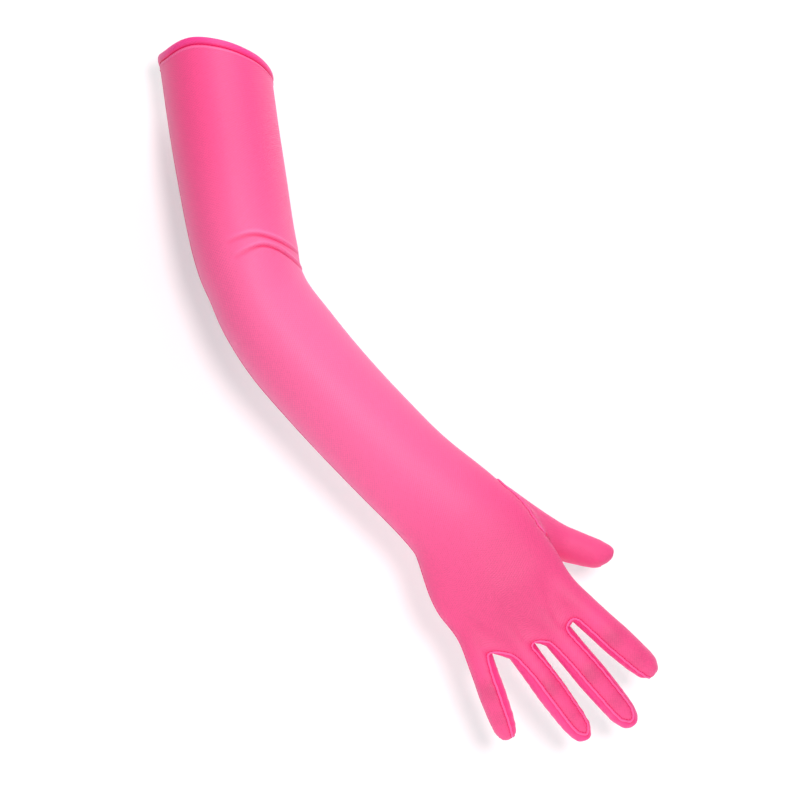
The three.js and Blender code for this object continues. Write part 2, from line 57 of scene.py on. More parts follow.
# Cloth and seams
CLOTH_THICKNESS = 0.0009
HEM_THICKNESS = 0.0019
HEM_PROUD = 0.0005
HEM_HEIGHT = 0.0046
SEAM_GAP = 0.0002

# Arm
ARM_LENGTH = 0.362
ARM_WIDTH = 0.072
ARM_DEPTH = 0.076
HEM_SLANT = 0.011
HEM_SLANT_FADE = 0.090

# Hand
HAND_LENGTH = 0.100
HAND_WIDTH = 0.086
HAND_DEPTH = 0.032
THUMB_HOLE_LENGTH = 0.043

# Fingers
FINGER_LENGTH = 0.082
FINGER_WIDTH = 0.0206
FINGER_DEPTH = 0.0176
CROTCH_DIP = 0.003

# Thumb
THUMB_LENGTH = 0.058
THUMB_WIDTH = 0.027
THUMB_DEPTH = 0.022


def table(columns, *rows):
    """A list of rows with named columns."""
    names = columns.split()
    return [dict(zip(names, row)) for row in rows]


# along: share of ARM_LENGTH; swing: degrees to the thumb side; lean: degrees towards the front;
# width and depth: shares of ARM_WIDTH and ARM_DEPTH; shift: share of ARM_WIDTH that the middle
# lies towards the thumb
ARM_SECTIONS = table(
    "along swing lean width depth shift",
    (0.00, 9, 15, 1.03, 1.15, 0.0),
    (0.12, 9, 15, 1.02, 1.12, 0.0),
    (0.24, 10, 14, 1.00, 1.08, 0.008),
    (0.34, 12, 12, 0.97, 1.02, 0.008),
    (0.39, 15, 10, 0.945, 1.00, 0.012),
    (0.43, 24, 8, 0.90, 0.98, 0.010),
    (0.48, 32, 6, 0.90, 0.96, -0.014),
    (0.56, 37, 4, 0.935, 0.93, -0.016),
    (0.66, 42, 3, 0.925, 0.88, -0.014),
    (0.78, 46, 2, 0.92, 0.78, -0.028),
    (0.90, 48, 1, 0.93, 0.65, -0.052),
    (1.00, 42, 0, 1.01, 0.57, -0.036),
)

# along: share of a turn from the palm side round by the little-finger side; drop: how far the hem
# hangs down the arm there, as a share of HEM_SLANT
HEM_EDGE = table(
    "along drop",
    (0.00, 0.00),
    (0.25, -1.00),
    (0.35, -0.52),
    (0.45, -0.45),
    (0.54, 0.08),
    (0.63, 0.64),
    (0.75, 1.00),
    (1.00, 0.00),
)

# along: share of HAND_LENGTH; width and depth: shares of HAND_WIDTH and HAND_DEPTH;
# shift: share of HAND_WIDTH that the middle lies towards the thumb
HAND_SECTIONS = table(
    "along width depth shift",
    (0.00, 0.86, 1.36, -0.03),
    (0.18, 0.97, 1.22, -0.015),
    (0.40, 1.01, 1.06, -0.03),
    (0.70, 1.04, 0.90, -0.03),
    (1.00, 1.06, 0.72, -0.01),
)
HAND_SWING = 32
HAND_LEAN = -2
WRIST_TURN = 0.55
FINGERS_SHOW_FROM = 0.55

# From the little finger to the index finger. root: share of HAND_LENGTH; across: share of
# HAND_WIDTH; splay, roll and bend: degrees; length: share of FINGER_LENGTH; width: share of
# FINGER_WIDTH and FINGER_DEPTH
FINGERS = table(
    "root across splay length width roll bend",
    (0.840, -0.443, -13, 0.775, 0.86, -12, 2),
    (0.955, -0.152, 4, 0.960, 0.97, 20, 0),
    (1.000, 0.140, 8, 1.020, 1.03, 11, 0),
    (0.945, 0.405, 15.5, 0.840, 1.03, 0, 1),
)
FINGER_CURL = (-4, 20)
ROLL_FADE = (-0.1, 0.35)
FINGER_GIRTH = table(
    "along girth",
    (0.00, 1.00),
    (0.14, 0.99),
    (0.30, 0.99),
    (0.46, 1.01),
    (0.62, 0.97),
    (0.76, 0.92),
    (0.87, 0.83),
    (0.94, 0.68),
    (0.98, 0.48),
)
THUMB_GIRTH = table(
    "along girth",
    (0.00, 1.16),
    (0.12, 1.01),
    (0.25, 0.93),
    (0.38, 0.87),
    (0.52, 0.83),
    (0.66, 0.78),
    (0.79, 0.73),
    (0.89, 0.64),
    (0.96, 0.47),
)
THUMB_ROOT = {"along": 0.37, "across": 0.385, "back": 0.62}
THUMB_SPLAY = 39.5
THUMB_CURL = (5, 2)
THUMB_BLEND = 0.42
THUMB_CARRIED = 0.8
THUMB_TIP_SLANT = 0.0026
THUMB_SLANT_FROM = 0.55
THUMB_PANEL_HALF_ANGLE = 36
WEB_CLOTH_LENGTH = 0.002
WEB_LIFT = 0.005
WEB_LIFT_UNTIL = 0.2
BACK_PANEL_HALF_ANGLE = 38
PALM_PANEL_HALF_ANGLE = 44

# Mesh of the cage, before it is subdivided once
PANEL_EDGES = 6
SIDE_EDGES = 6
FINGER_PITCH = PANEL_EDGES + 1
BACK_POINTS = len(FINGERS) * FINGER_PITCH
RING_POINTS = 2 * (BACK_POINTS + SIDE_EDGES - 1)
HEM_ROWS = 3
HEM_LINES_END = 0.0096
HEM_LINES_STEP = 0.0011
ARM_ROW_STEP = 0.0042
FOLD_ROW_STEP = 0.0017
FOLD_ROWS = (0.34, 0.46)
HOLE_ROWS = 9
HOLE_COLUMNS = 11
HOLE_COLUMN = BACK_POINTS + 1
HAND_ROWS = 22
FINGER_ROW_SHARE = 0.032
THUMB_ROW_SHARE = 0.045
# Where the panels of the ring and middle finger end: the outer, next and middle columns
PANEL_ENDS = (0.86, 0.90, 0.93)
SPINE_STEPS = 200
DIGIT_STEPS = 12


def unit(vector):
    return vector / np.linalg.norm(vector)


def mix(a, b, t):
    return a + (b - a) * t


def smoothstep(x, low, high):
    t = np.clip((x - low) / (high - low), 0, 1)
    return t * t * (3 - 2 * t)


def look_up(rows, column, share):
    """Value of a table's column at a share, on a smooth curve through the rows."""
    row = 0
    while row < len(rows) - 2 and share > rows[row + 1]["along"]:
        row += 1
    before, start = rows[max(row - 1, 0)], rows[row]
    end, after = rows[row + 1], rows[min(row + 2, len(rows) - 1)]
    span = end["along"] - start["along"]
    t = min(max((share - start["along"]) / span, 0), 1)
    slope_in = (end[column] - before[column]) / (end["along"] - before["along"])
    slope_out = (after[column] - start[column]) / (after["along"] - start["along"])
    t2, t3 = t * t, t * t * t
    return (
        (2 * t3 - 3 * t2 + 1) * start[column]
        + (t3 - 2 * t2 + t) * span * slope_in
        + (3 * t2 - 2 * t3) * end[column]
        + (t3 - t2) * span * slope_out
    )


def add_object(name, data):
    thing = bpy.data.objects.new(name, data)
    bpy.context.scene.collection.objects.link(thing)
    return thing


class Frame:
    """A place with directions along, across and through the arm, hand or finger."""

    def __init__(self, centre, along, across, through):
        self.centre, self.along, self.across, self.through = centre, along, across, through

    def oval(self, width, depth, degrees):
        """Point on an oval section: 0 degrees is the back, 90 the thumb side, 180 the palm."""
        angle = math.radians(degrees)
        sideways = 0.5 * width * math.sin(angle) * self.across
        return self.centre + sideways - 0.5 * depth * math.cos(angle) * self.through

    def moved(self, offset):
        return Frame(self.centre + offset, self.along, self.across, self.through)


def directions(swing, lean):
    """Directions along, across and through a limb that points down, from its angles."""
    swing, lean = math.radians(swing), math.radians(lean)
    level = math.cos(lean)
    along = np.array([math.sin(swing) * level, -math.sin(lean), -math.cos(swing) * level])
    through = unit(np.array([0.0, 1.0, 0.0]) + math.sin(lean) * along)
    return along, np.cross(along, through), through


def ring_angle(column):
    """Degrees round the arm or hand, from the middle of the back."""
    return (column - 0.5 * (BACK_POINTS - 1)) * (360 / RING_POINTS)


def arm_spine():
    """Centre line of the arm, stepped down from the opening."""
    spine = [np.zeros(3)]
    for step in range(SPINE_STEPS):
        share = (step + 0.5) / SPINE_STEPS
        swing, lean = (look_up(ARM_SECTIONS, name, share) for name in ("swing", "lean"))
        spine.append(spine[-1] + directions(swing, lean)[0] * ARM_LENGTH / SPINE_STEPS)
    return spine


SPINE = arm_spine()
WRIST = Frame(SPINE[-1], *directions(HAND_SWING, HAND_LEAN))


def arm_frame(share):
    """Place and directions at a share of the arm's length."""
    place = min(max(share * SPINE_STEPS, 0), SPINE_STEPS - 1e-6)
    step = int(place)
    centre = mix(SPINE[step], SPINE[step + 1], place - step)
    swing, lean = (look_up(ARM_SECTIONS, name, share) for name in ("swing", "lean"))
    return Frame(centre, *directions(swing, lean))


def arm_point(share, column):
    """A point of the sleeve, which hangs lower on the thumb side near the hem."""
    here = arm_frame(share)
    degrees = ring_angle(column)
    fade = 1 - smoothstep(share * ARM_LENGTH, 0, HEM_SLANT_FADE)
    drop = HEM_SLANT * look_up(HEM_EDGE, "drop", (degrees + 180) % 360 / 360)
    here = here.moved(drop * fade * here.along)
    here = here.moved(ARM_WIDTH * look_up(ARM_SECTIONS, "shift", share) * here.across)
    width = ARM_WIDTH * look_up(ARM_SECTIONS, "width", share)
    depth = ARM_DEPTH * look_up(ARM_SECTIONS, "depth", share)
    return here.oval(width, depth, degrees)


def hand_frame(distance):
    return WRIST.moved(WRIST.along * distance)


class Digit:
    """A finger or the thumb: where it starts, which way it goes and how thick it is."""

    def __init__(self, root, splay, bend, curl, length, width, depth, roll=0, reach=0):
        self.root, self.splay, self.bend, self.curl = root, splay, bend, curl
        self.length, self.width, self.depth = length, width, depth
        self.roll, self.reach = roll, reach

    def frame(self, share):
        """Frame at a share of the length, stepped along the splay, bend and curl."""
        centre = self.root.copy()
        for i in range(DIGIT_STEPS + 1):
            here = share * i / DIGIT_STEPS
            splay = math.radians(self.splay + self.bend * here)
            curl = math.radians(mix(*self.curl, here))
            level = WRIST.along * math.cos(splay) + WRIST.across * math.sin(splay)
            along = level * math.cos(curl) + WRIST.through * math.sin(curl)
            through = WRIST.through * math.cos(curl) - level * math.sin(curl)
            if i < DIGIT_STEPS:
                centre = centre + along * (self.length * share / DIGIT_STEPS)
        return Frame(centre, along, np.cross(along, through), through)


def digit_angles(across_edges, side_edges, back_half, palm_half, roll):
    """Angles of a digit's ring points: back panel, thumb side, palm panel, little-finger side."""
    corners = [-back_half, back_half, 180 - palm_half, 180 + palm_half, 360 - back_half]
    angles = []
    for side, count in enumerate([across_edges, side_edges, across_edges, side_edges]):
        angles += [mix(corners[side], corners[side + 1], i / count) + roll for i in range(count)]
    return angles


def finger_digit(row):
    reach = row["root"] * HAND_LENGTH
    root = hand_frame(reach).centre + WRIST.across * row["across"] * HAND_WIDTH
    return Digit(
        root, row["splay"], row["bend"], FINGER_CURL, row["length"] * FINGER_LENGTH,
        row["width"] * FINGER_WIDTH, row["width"] * FINGER_DEPTH, row["roll"], reach)


DIGITS = [finger_digit(row) for row in FINGERS]
THUMB = Digit(
    hand_frame(THUMB_ROOT["along"] * HAND_LENGTH).centre
    + WRIST.across * THUMB_ROOT["across"] * HAND_WIDTH
    + WRIST.through * THUMB_ROOT["back"] * HAND_DEPTH,
    THUMB_SPLAY, 0, THUMB_CURL, THUMB_LENGTH, THUMB_WIDTH, THUMB_DEPTH)


def finger_ring(digit, share):
    here = digit.frame(share)
    girth = look_up(FINGER_GIRTH, "girth", share)
    roll = digit.roll * smoothstep(share, *ROLL_FADE)
    angles = digit_angles(
        PANEL_EDGES, SIDE_EDGES, BACK_PANEL_HALF_ANGLE, PALM_PANEL_HALF_ANGLE, roll)
    return [here.oval(digit.width * girth, digit.depth * girth, angle) for angle in angles]


def finger_of_column(column):
    """The finger, and the place in its root ring, that a column of the hand runs into."""
    palm_start = BACK_POINTS + SIDE_EDGES - 1
    last = len(FINGERS) - 1
    if column < BACK_POINTS:
        return column // FINGER_PITCH, column % FINGER_PITCH
    if column < palm_start:
        return last, column - BACK_POINTS + FINGER_PITCH
    if column < palm_start + BACK_POINTS:
        in_palm = column - palm_start
        return last - in_palm // FINGER_PITCH, PANEL_EDGES + SIDE_EDGES + in_palm % FINGER_PITCH
    return 0, 2 * PANEL_EDGES + SIDE_EDGES + 1 + column - palm_start - BACK_POINTS


ROOT_RINGS = [finger_ring(digit, 0) for digit in DIGITS]


def hand_point(share, column):
    """A point of the hand: the palm's oval turns into the fingers' own ovals near their roots."""
    finger, place = finger_of_column(column)
    distance = share * DIGITS[finger].reach
    along = distance / HAND_LENGTH
    width = HAND_WIDTH * look_up(HAND_SECTIONS, "width", along)
    depth = HAND_DEPTH * look_up(HAND_SECTIONS, "depth", along)
    shift = HAND_WIDTH * look_up(HAND_SECTIONS, "shift", along)
    palm = hand_frame(distance).moved(WRIST.across * shift).oval(width, depth, ring_angle(column))
    back = DIGITS[finger].frame(0).along * (distance - DIGITS[finger].reach)
    return mix(palm, ROOT_RINGS[finger][place] + back, smoothstep(share, FINGERS_SHOW_FROM, 1))


# The glove's pieces, in the order of their numbers on the cage
PIECES = ["hem_band", "sleeve_and_hand", "finger_strip", "thumb"]
HEM, SLEEVE, STRIP, THUMB_PIECE = range(len(PIECES))

# Width of one column of cloth and where the side seam runs, on the little-finger side
COLUMN_WIDTH = 0.0033
SEAM_COLUMN = 63


class Cage:
    """One surface for the whole glove: points and four-cornered faces with cloth coordinates."""

    def __init__(self):
        self.points, self.faces, self.labels, self.cloth = [], [], [], []

    def point(self, place):
        self.points.append(np.asarray(place, float))
        return len(self.points) - 1

    def face(self, label, corners, cloth):
        self.faces.append(corners)
        self.labels.append(label)
        self.cloth.append(cloth)

    def join(self, upper, lower, label_at, u_at, v_upper, v_lower):
        """Faces between two rings with the same number of points."""
        for i, corner in enumerate(upper):
            label = label_at(i)
            if label is None:
                continue
            after = (i + 1) % len(upper)
            u, u_next = u_at(i), u_at(i) + COLUMN_WIDTH
            self.face(
                label, (corner, lower[i], lower[after], upper[after]),
                ((u, v_upper), (u, v_lower), (u_next, v_lower), (u_next, v_upper)))

    def close_tip(self, ring, across_edges, side_edges, outwards, label, u_start, v_start):
        """Rounded end of a digit: a patch across its last ring, pushed out along the digit."""
        grid = np.zeros((side_edges + 1, across_edges + 1), int)
        grid[0] = ring[: across_edges + 1]
        grid[side_edges] = ring[across_edges + side_edges:2 * across_edges + side_edges + 1][::-1]
        for m in range(1, side_edges):
            grid[m, across_edges] = ring[across_edges + m]
            grid[m, 0] = ring[len(ring) - m]
        at = self.points
        for m in range(1, side_edges):
            for n in range(1, across_edges):
                v, u = m / side_edges, n / across_edges
                sides = mix(at[grid[m, 0]], at[grid[m, across_edges]], u)
                panels = mix(at[grid[0, n]], at[grid[side_edges, n]], v)
                swell = math.sqrt(math.sin(math.pi * u) * math.sin(math.pi * v))
                grid[m, n] = self.point(mix(sides, panels, 0.5) + outwards * swell)
        for m in range(side_edges):
            for n in range(across_edges):
                u, v = u_start + n * COLUMN_WIDTH, v_start + m * COLUMN_WIDTH
                u_next, v_next = u + COLUMN_WIDTH, v + COLUMN_WIDTH
                self.face(
                    label,
                    tuple(int(x) for x in (
                        grid[m, n + 1], grid[m, n], grid[m + 1, n], grid[m + 1, n + 1])),
                    ((u_next, v), (u, v), (u, v_next), (u_next, v_next)))


def arm_rows():
    """Shares of the arm's length at which the sleeve has a row of points."""
    hem = HEM_HEIGHT / ARM_LENGTH
    rows = [hem * i / HEM_ROWS for i in range(HEM_ROWS + 1)]
    stops = zip(
        (HEM_LINES_END / ARM_LENGTH, *FOLD_ROWS, 1),
        (HEM_LINES_STEP, ARM_ROW_STEP, FOLD_ROW_STEP, ARM_ROW_STEP))
    for stop, step in stops:
        start = rows[-1]
        count = math.ceil((stop - start) * ARM_LENGTH / step)
        rows += [mix(start, stop, i / count) for i in range(1, count + 1)]
    return rows


def column_u(column):
    """Cloth coordinate round the sleeve, with its cut at the side seam."""
    return ((column - SEAM_COLUMN) % RING_POINTS) * COLUMN_WIDTH


def shares_between(rows, step):
    """Shares of a digit's length for its rings: even steps, then the table's last rows."""
    closing = [row["along"] for row in rows[-3:]]
    count = math.ceil(closing[0] / step)
    even = [closing[0] * i / count for i in range(1, count)]
    tail = []
    for start, end in zip(closing, closing[1:]):
        tail += [start, 0.5 * (start + end)]
    return even + tail + [closing[-1]]


def build_arm(cage):
    """The sleeve from hem to wrist. Returns its rings of points."""
    shares = arm_rows()
    columns = range(RING_POINTS)
    rings = [[cage.point(arm_point(share, column)) for column in columns] for share in shares]
    for row in range(len(rings) - 1):
        label = HEM if row < HEM_ROWS else SLEEVE
        cage.join(
            rings[row], rings[row + 1], lambda i, label=label: label, column_u,
            shares[row] * ARM_LENGTH, shares[row + 1] * ARM_LENGTH)
    return rings


def build_hand(cage, wrist):
    """The hand from wrist to finger roots, with a hole on the thumb side where the thumb is set
    in. Returns its rings of points, the wrist's among them."""
    hole_share = THUMB_HOLE_LENGTH / HAND_LENGTH
    shares = [hole_share * row / HOLE_ROWS for row in range(HOLE_ROWS + 1)]
    rest = HAND_ROWS - HOLE_ROWS
    shares += [mix(hole_share, 1, row / rest) for row in range(1, rest + 1)]
    rings = [wrist]
    for row in range(1, len(shares)):
        turning = 1 - smoothstep(shares[row], 0, WRIST_TURN)
        ring = []
        for column, corner in enumerate(wrist):
            step = cage.points[corner] - hand_point(0, column)
            ring.append(cage.point(hand_point(shares[row], column) + step * turning))
        rings.append(ring)

        def label_at(column, row=row):
            in_hole = HOLE_COLUMN <= column < HOLE_COLUMN + HOLE_COLUMNS
            return None if row <= HOLE_ROWS and in_hole else SLEEVE

        cage.join(
            rings[-2], rings[-1], label_at, column_u,
            ARM_LENGTH + shares[row - 1] * HAND_LENGTH, ARM_LENGTH + shares[row] * HAND_LENGTH)
    return rings


def finger_roots(cage, ring):
    """Each finger's first ring: columns of the hand, and new points in the webs between."""
    roots = [[None] * (2 * (PANEL_EDGES + SIDE_EDGES)) for _ in DIGITS]
    for column, corner in enumerate(ring):
        finger, place = finger_of_column(column)
        roots[finger][place] = corner
    for digit, root, places in zip(DIGITS, roots, ROOT_RINGS):
        dip = digit.frame(0).along * CROTCH_DIP
        for place, corner in enumerate(root):
            if corner is None:
                root[place] = cage.point(places[place] + dip)
    return roots


def build_webs(cage, roots):
    """Webs between the fingers, part of the strip that runs round them."""
    for near, far in zip(roots, roots[1:]):
        for i in range(SIDE_EDGES):
            corners = (
                far[-i % len(far)], near[PANEL_EDGES + i], near[PANEL_EDGES + i + 1],
                far[len(far) - i - 1])
            u, u_next = i * COLUMN_WIDTH, (i + 1) * COLUMN_WIDTH
            cage.face(
                STRIP, corners,
                ((u, 0.0), (u, -WEB_CLOTH_LENGTH), (u_next, -WEB_CLOTH_LENGTH), (u_next, 0.0)))


def build_cage():
    """The cage, with the points along the side seam and along the thumb's own seam."""
    cage = Cage()
    sleeve = build_arm(cage)
    hand = build_hand(cage, sleeve[-1])
    roots = finger_roots(cage, hand[-1])
    build_webs(cage, roots)
    tips = [build_finger(cage, i, DIGITS[i], roots[i]) for i in range(len(DIGITS))]
    thumb_seam = build_thumb(cage, hand)
    side_seam = [ring[SEAM_COLUMN] for ring in sleeve + hand[1:]] + tips[0]
    return cage, side_seam, thumb_seam


def build_finger(cage, number, digit, ring):
    """A finger. Its back and palm panels belong to the hand, the sides between fingers and the
    tips of the middle and ring fingers to the strip. Returns the points along its outer side."""
    is_little, is_index = number == 0, number == len(DIGITS) - 1
    tip_label = SLEEVE if is_little or is_index else STRIP
    panel_u = column_u(number * FINGER_PITCH)

    def label_at(place, start=0.0):
        if PANEL_EDGES <= place < PANEL_EDGES + SIDE_EDGES:
            return SLEEVE if is_index else STRIP
        if place >= 2 * PANEL_EDGES + SIDE_EDGES:
            return SLEEVE if is_little else STRIP
        column = place % (PANEL_EDGES + SIDE_EDGES)
        inwards = min(column, PANEL_EDGES - 1 - column)
        return tip_label if start > PANEL_ENDS[inwards] else SLEEVE

    def u_at(place):
        if label_at(place) == STRIP:
            return (place - PANEL_EDGES) % len(ring) * COLUMN_WIDTH
        return panel_u + place * COLUMN_WIDTH

    outer_place = 2 * PANEL_EDGES + SIDE_EDGES + SIDE_EDGES // 2
    outer = []
    start = ARM_LENGTH + digit.reach
    before = 0.0
    for share in shares_between(FINGER_GIRTH, FINGER_ROW_SHARE):
        lower = [cage.point(place) for place in finger_ring(digit, share)]
        v, v_next = start + before * digit.length, start + share * digit.length
        cage.join(ring, lower, lambda i, start=before: label_at(i, start), u_at, v, v_next)
        ring, before = lower, share
        outer.append(ring[outer_place])
    outwards = digit.frame(1).along * digit.length * (1 - before)
    cage.close_tip(
        ring, PANEL_EDGES, SIDE_EDGES, outwards, tip_label, panel_u, start + digit.length)
    return outer


def build_thumb(cage, hand):
    """The thumb. Its first ring is the edge of the hole, which turns into its own oval.
    Returns the points along the side that faces the index finger."""
    hole_end = HOLE_COLUMN + HOLE_COLUMNS
    hole = [hand[row][HOLE_COLUMN] for row in range(HOLE_ROWS, 0, -1)]
    hole += [hand[0][column] for column in range(HOLE_COLUMN, hole_end)]
    hole += [hand[row][hole_end] for row in range(HOLE_ROWS)]
    hole += [hand[HOLE_ROWS][column] for column in range(hole_end, HOLE_COLUMN, -1)]
    angles = digit_angles(
        HOLE_ROWS, HOLE_COLUMNS, THUMB_PANEL_HALF_ANGLE, THUMB_PANEL_HALF_ANGLE, 0)
    seam_place = len(hole) - HOLE_COLUMNS // 2
    seam = [hole[seam_place]]
    ring = hole
    before = 0.0
    for share in shares_between(THUMB_GIRTH, THUMB_ROW_SHARE):
        here = THUMB.frame(share)
        girth = look_up(THUMB_GIRTH, "girth", share)
        travelled = here.centre - THUMB.root
        blend = smoothstep(share, 0, THUMB_BLEND)
        slant = THUMB_TIP_SLANT * smoothstep(share, THUMB_SLANT_FROM, 1)
        lower = []
        for angle, corner in zip(angles, hole):
            own = here.oval(THUMB_WIDTH * girth, THUMB_DEPTH * girth, angle)
            outer = math.sin(math.radians(angle))
            own = own + here.along * (slant * outer)
            facing_index = 0.5 * (1 - outer)
            lift = WEB_LIFT * facing_index ** 2 * smoothstep(share, 0, WEB_LIFT_UNTIL)
            carried = cage.points[corner] + travelled * THUMB_CARRIED + WRIST.through * lift
            lower.append(cage.point(mix(carried, own, blend)))
        cage.join(
            ring, lower, lambda i: THUMB_PIECE, lambda i: i * COLUMN_WIDTH,
            before * THUMB_LENGTH, share * THUMB_LENGTH)
        ring, before = lower, share
        seam.append(ring[seam_place])
    outwards = THUMB.frame(1).along * THUMB_LENGTH * (1 - before)
    cage.close_tip(ring, HOLE_ROWS, HOLE_COLUMNS, outwards, THUMB_PIECE, 0.0, THUMB_LENGTH)
    return seam


# How far the seams are drawn into curves, and the directions out of the cloth along a line, in
# turns of smoothing, and how many rows of cloth follow the seams
SEAM_EASE = 8
DIRECTION_EASE = 2
SEAM_RINGS = 3


class Surface:
    """The subdivided glove as arrays: points, quads, piece numbers and cloth coordinates."""

    def __init__(self, cage):
        mesh = bpy.data.meshes.new("cage")
        mesh.from_pydata([tuple(p) for p in cage.points], [], cage.faces)
        for label in PIECES:
            mesh.materials.append(bpy.data.materials.new("piece_" + label))
        mesh.polygons.foreach_set("material_index", cage.labels)
        layer = mesh.uv_layers.new(name="cloth")
        layer.data.foreach_set("uv", np.array(cage.cloth, float).ravel())
        holder = add_object("cage", mesh)
        smooth = holder.modifiers.new("smooth", "SUBSURF")
        smooth.levels = smooth.render_levels = 1
        graph = bpy.context.evaluated_depsgraph_get()
        fine = bpy.data.meshes.new_from_object(holder.evaluated_get(graph))
        self.points = np.zeros(len(fine.vertices) * 3)
        fine.vertices.foreach_get("co", self.points)
        self.points = self.points.reshape(-1, 3)
        self.faces = np.zeros(len(fine.loops), int)
        fine.loops.foreach_get("vertex_index", self.faces)
        self.faces = self.faces.reshape(-1, 4)
        self.labels = np.zeros(len(fine.polygons), int)
        fine.polygons.foreach_get("material_index", self.labels)
        self.cloth = np.zeros(len(fine.loops) * 2)
        fine.uv_layers[0].data.foreach_get("uv", self.cloth)
        self.cloth = self.cloth.reshape(-1, 4, 2)
        for material in list(mesh.materials):
            bpy.data.materials.remove(material)
        bpy.data.objects.remove(holder)
        bpy.data.meshes.remove(fine)
        self.update()

    def update(self):
        """Outward normals at the points, and a tree that finds the nearest place on the cloth."""
        a, b, c, d = (self.points[self.faces[:, i]] for i in range(4))
        across = np.cross(c - a, d - b)
        self.normals = np.zeros_like(self.points)
        for i in range(4):
            np.add.at(self.normals, self.faces[:, i], across)
        self.normals /= np.linalg.norm(self.normals, axis=1, keepdims=True) + 1e-12
        self.tree = BVHTree.FromPolygons(self.points.tolist(), self.faces.tolist())

    def drop(self, line, lift=0.0):
        """A line laid on the cloth, lifted off it, and the cloth's normals along it."""
        places, normals = [], []
        for point in line:
            where, normal, _, _ = self.tree.find_nearest(Vector(point))
            places.append(np.array(where))
            normals.append(np.array(normal))
        places, normals = np.array(places), smoothed(np.array(normals), DIRECTION_EASE)
        normals /= np.linalg.norm(normals, axis=1, keepdims=True)
        return places + normals * lift, normals

    def edge_between(self, label, other):
        """Closed or open chains of points along the edges where two pieces meet."""
        owner = {}
        for face, piece in zip(self.faces.tolist(), self.labels.tolist()):
            if piece not in (label, other):
                continue
            for i in range(4):
                owner.setdefault((face[i], face[(i + 1) % 4]), piece)
        after = {
            start: end for (start, end), piece in owner.items()
            if piece == label and owner.get((end, start)) == other}
        chains = []
        starts = [point for point in after if point not in set(after.values())]
        while after:
            chain = [next((point for point in starts if point in after), next(iter(after)))]
            while chain[-1] in after:
                chain.append(after.pop(chain[-1]))
            chains.append(chain)
        return chains

    def ease_seams(self, chains):
        """Draws the seams into smooth curves on the cloth and evens out the cloth beside them."""
        moved, fixed = self.points.copy(), np.zeros(len(self.points), bool)
        for chain in chains:
            closed = chain[0] == chain[-1]
            line = chain[:-1] if closed else chain
            moved[line] = smoothed(self.points[line], SEAM_EASE, closed)
            fixed[line] = True
        sides = np.vstack([self.faces[:, [i, (i + 1) % 4]] for i in range(4)])
        near = fixed.copy()
        for _ in range(SEAM_RINGS):
            beside = near[sides].any(axis=1)
            near[sides[beside].ravel()] = True
        loose = near & ~fixed
        for _ in range(SEAM_EASE):
            total, count = np.zeros_like(moved), np.zeros(len(moved))
            for a, b in (sides.T, sides.T[::-1]):
                np.add.at(total, a, moved[b])
                np.add.at(count, a, 1)
            moved[loose] = 0.5 * (moved[loose] + total[loose] / count[loose, None])
        for i in np.flatnonzero(near):
            moved[i] = self.tree.find_nearest(Vector(moved[i]))[0]
        self.points = moved
        self.update()


def smoothed(line, times, closed=False):
    """A row of points or directions with each one drawn towards its neighbours."""
    line = line.copy()
    for _ in range(times):
        if closed:
            line = 0.5 * line + 0.25 * (np.roll(line, 1, axis=0) + np.roll(line, -1, axis=0))
        else:
            line[1:-1] = 0.5 * line[1:-1] + 0.25 * (line[:-2] + line[2:])
    return line


def evenly(line, step, closed=False):
    """The same line with its points spaced evenly."""
    if closed:
        line = np.vstack([line, line[:1]])
    lengths = np.concatenate([[0], np.cumsum(np.linalg.norm(np.diff(line, axis=0), axis=1))])
    count = max(int(round(lengths[-1] / step)), 2)
    at = np.linspace(0, lengths[-1], count + 1)
    if closed:
        at = at[:-1]
    return np.stack([np.interp(at, lengths, line[:, i]) for i in range(3)], axis=1)


# Where the cloth gives: each function returns how far it moves out from the glove, in metres.
# along: share of ARM_LENGTH at the back; start, end: degrees round the arm; bow: share of
# ARM_LENGTH that the middle rises; drop: share of ARM_LENGTH that the thumb side hangs lower;
# drop_start, drop_end: degrees between which it comes down; depth: in metres. The folds lie a
# little higher than in the solids, and are narrower.
ELBOW_FOLDS = table(
    "along start end bow drop drop_start drop_end depth",
    (0.374, -16, 88, 0.006, 0.036, 5, 85, 0.0011),
    (0.401, -12, 100, 0.011, 0.053, 18, 88, 0.0013),
)
FOLD_WIDTH = 0.0013
FOLD_RIDGE_AT = 1.6
FOLD_RIDGE = 0.8
FOLD_FADE = 0.6


def elbow_folds(cloth):
    """Two soft creases across the inner side of the elbow, each with a ridge above a groove.
    Like hem_lines, it also returns a tone of painted shade, below 0 in a groove, and painted
    highlight, above 0 on a ridge."""
    share = cloth[:, 1] / ARM_LENGTH
    degrees = ring_angle(cloth[:, 0] / COLUMN_WIDTH + SEAM_COLUMN)
    degrees = (degrees + 180) % 360 - 180
    out, tone = np.zeros(len(cloth)), np.zeros(len(cloth))
    for fold in ELBOW_FOLDS:
        t = np.clip((degrees - fold["start"]) / (fold["end"] - fold["start"]), 0, 1)
        arch = np.sin(math.pi * t)
        down = smoothstep(degrees, fold["drop_start"], fold["drop_end"])
        middle = fold["along"] - fold["bow"] * arch + fold["drop"] * down
        away = (share - middle) * ARM_LENGTH / FOLD_WIDTH
        groove = -np.exp(-(away ** 2))
        ridge = FOLD_RIDGE * np.exp(-((away + FOLD_RIDGE_AT) ** 2))
        height = arch ** FOLD_FADE * (groove + ridge)
        out += fold["depth"] * height
        tone += height
    return out, tone


HEM_ROLL = 0.0005
HEM_GROOVE_DEPTH = 0.0007
HEM_GROOVE_WIDTH = 0.0008
HEM_RIDGE_AT = 0.0067
HEM_RIDGE_HEIGHT = 0.0005
HEM_RIDGE_WIDTH = 0.0007
HEM_RIDGE_HIGHLIGHT = 0.8


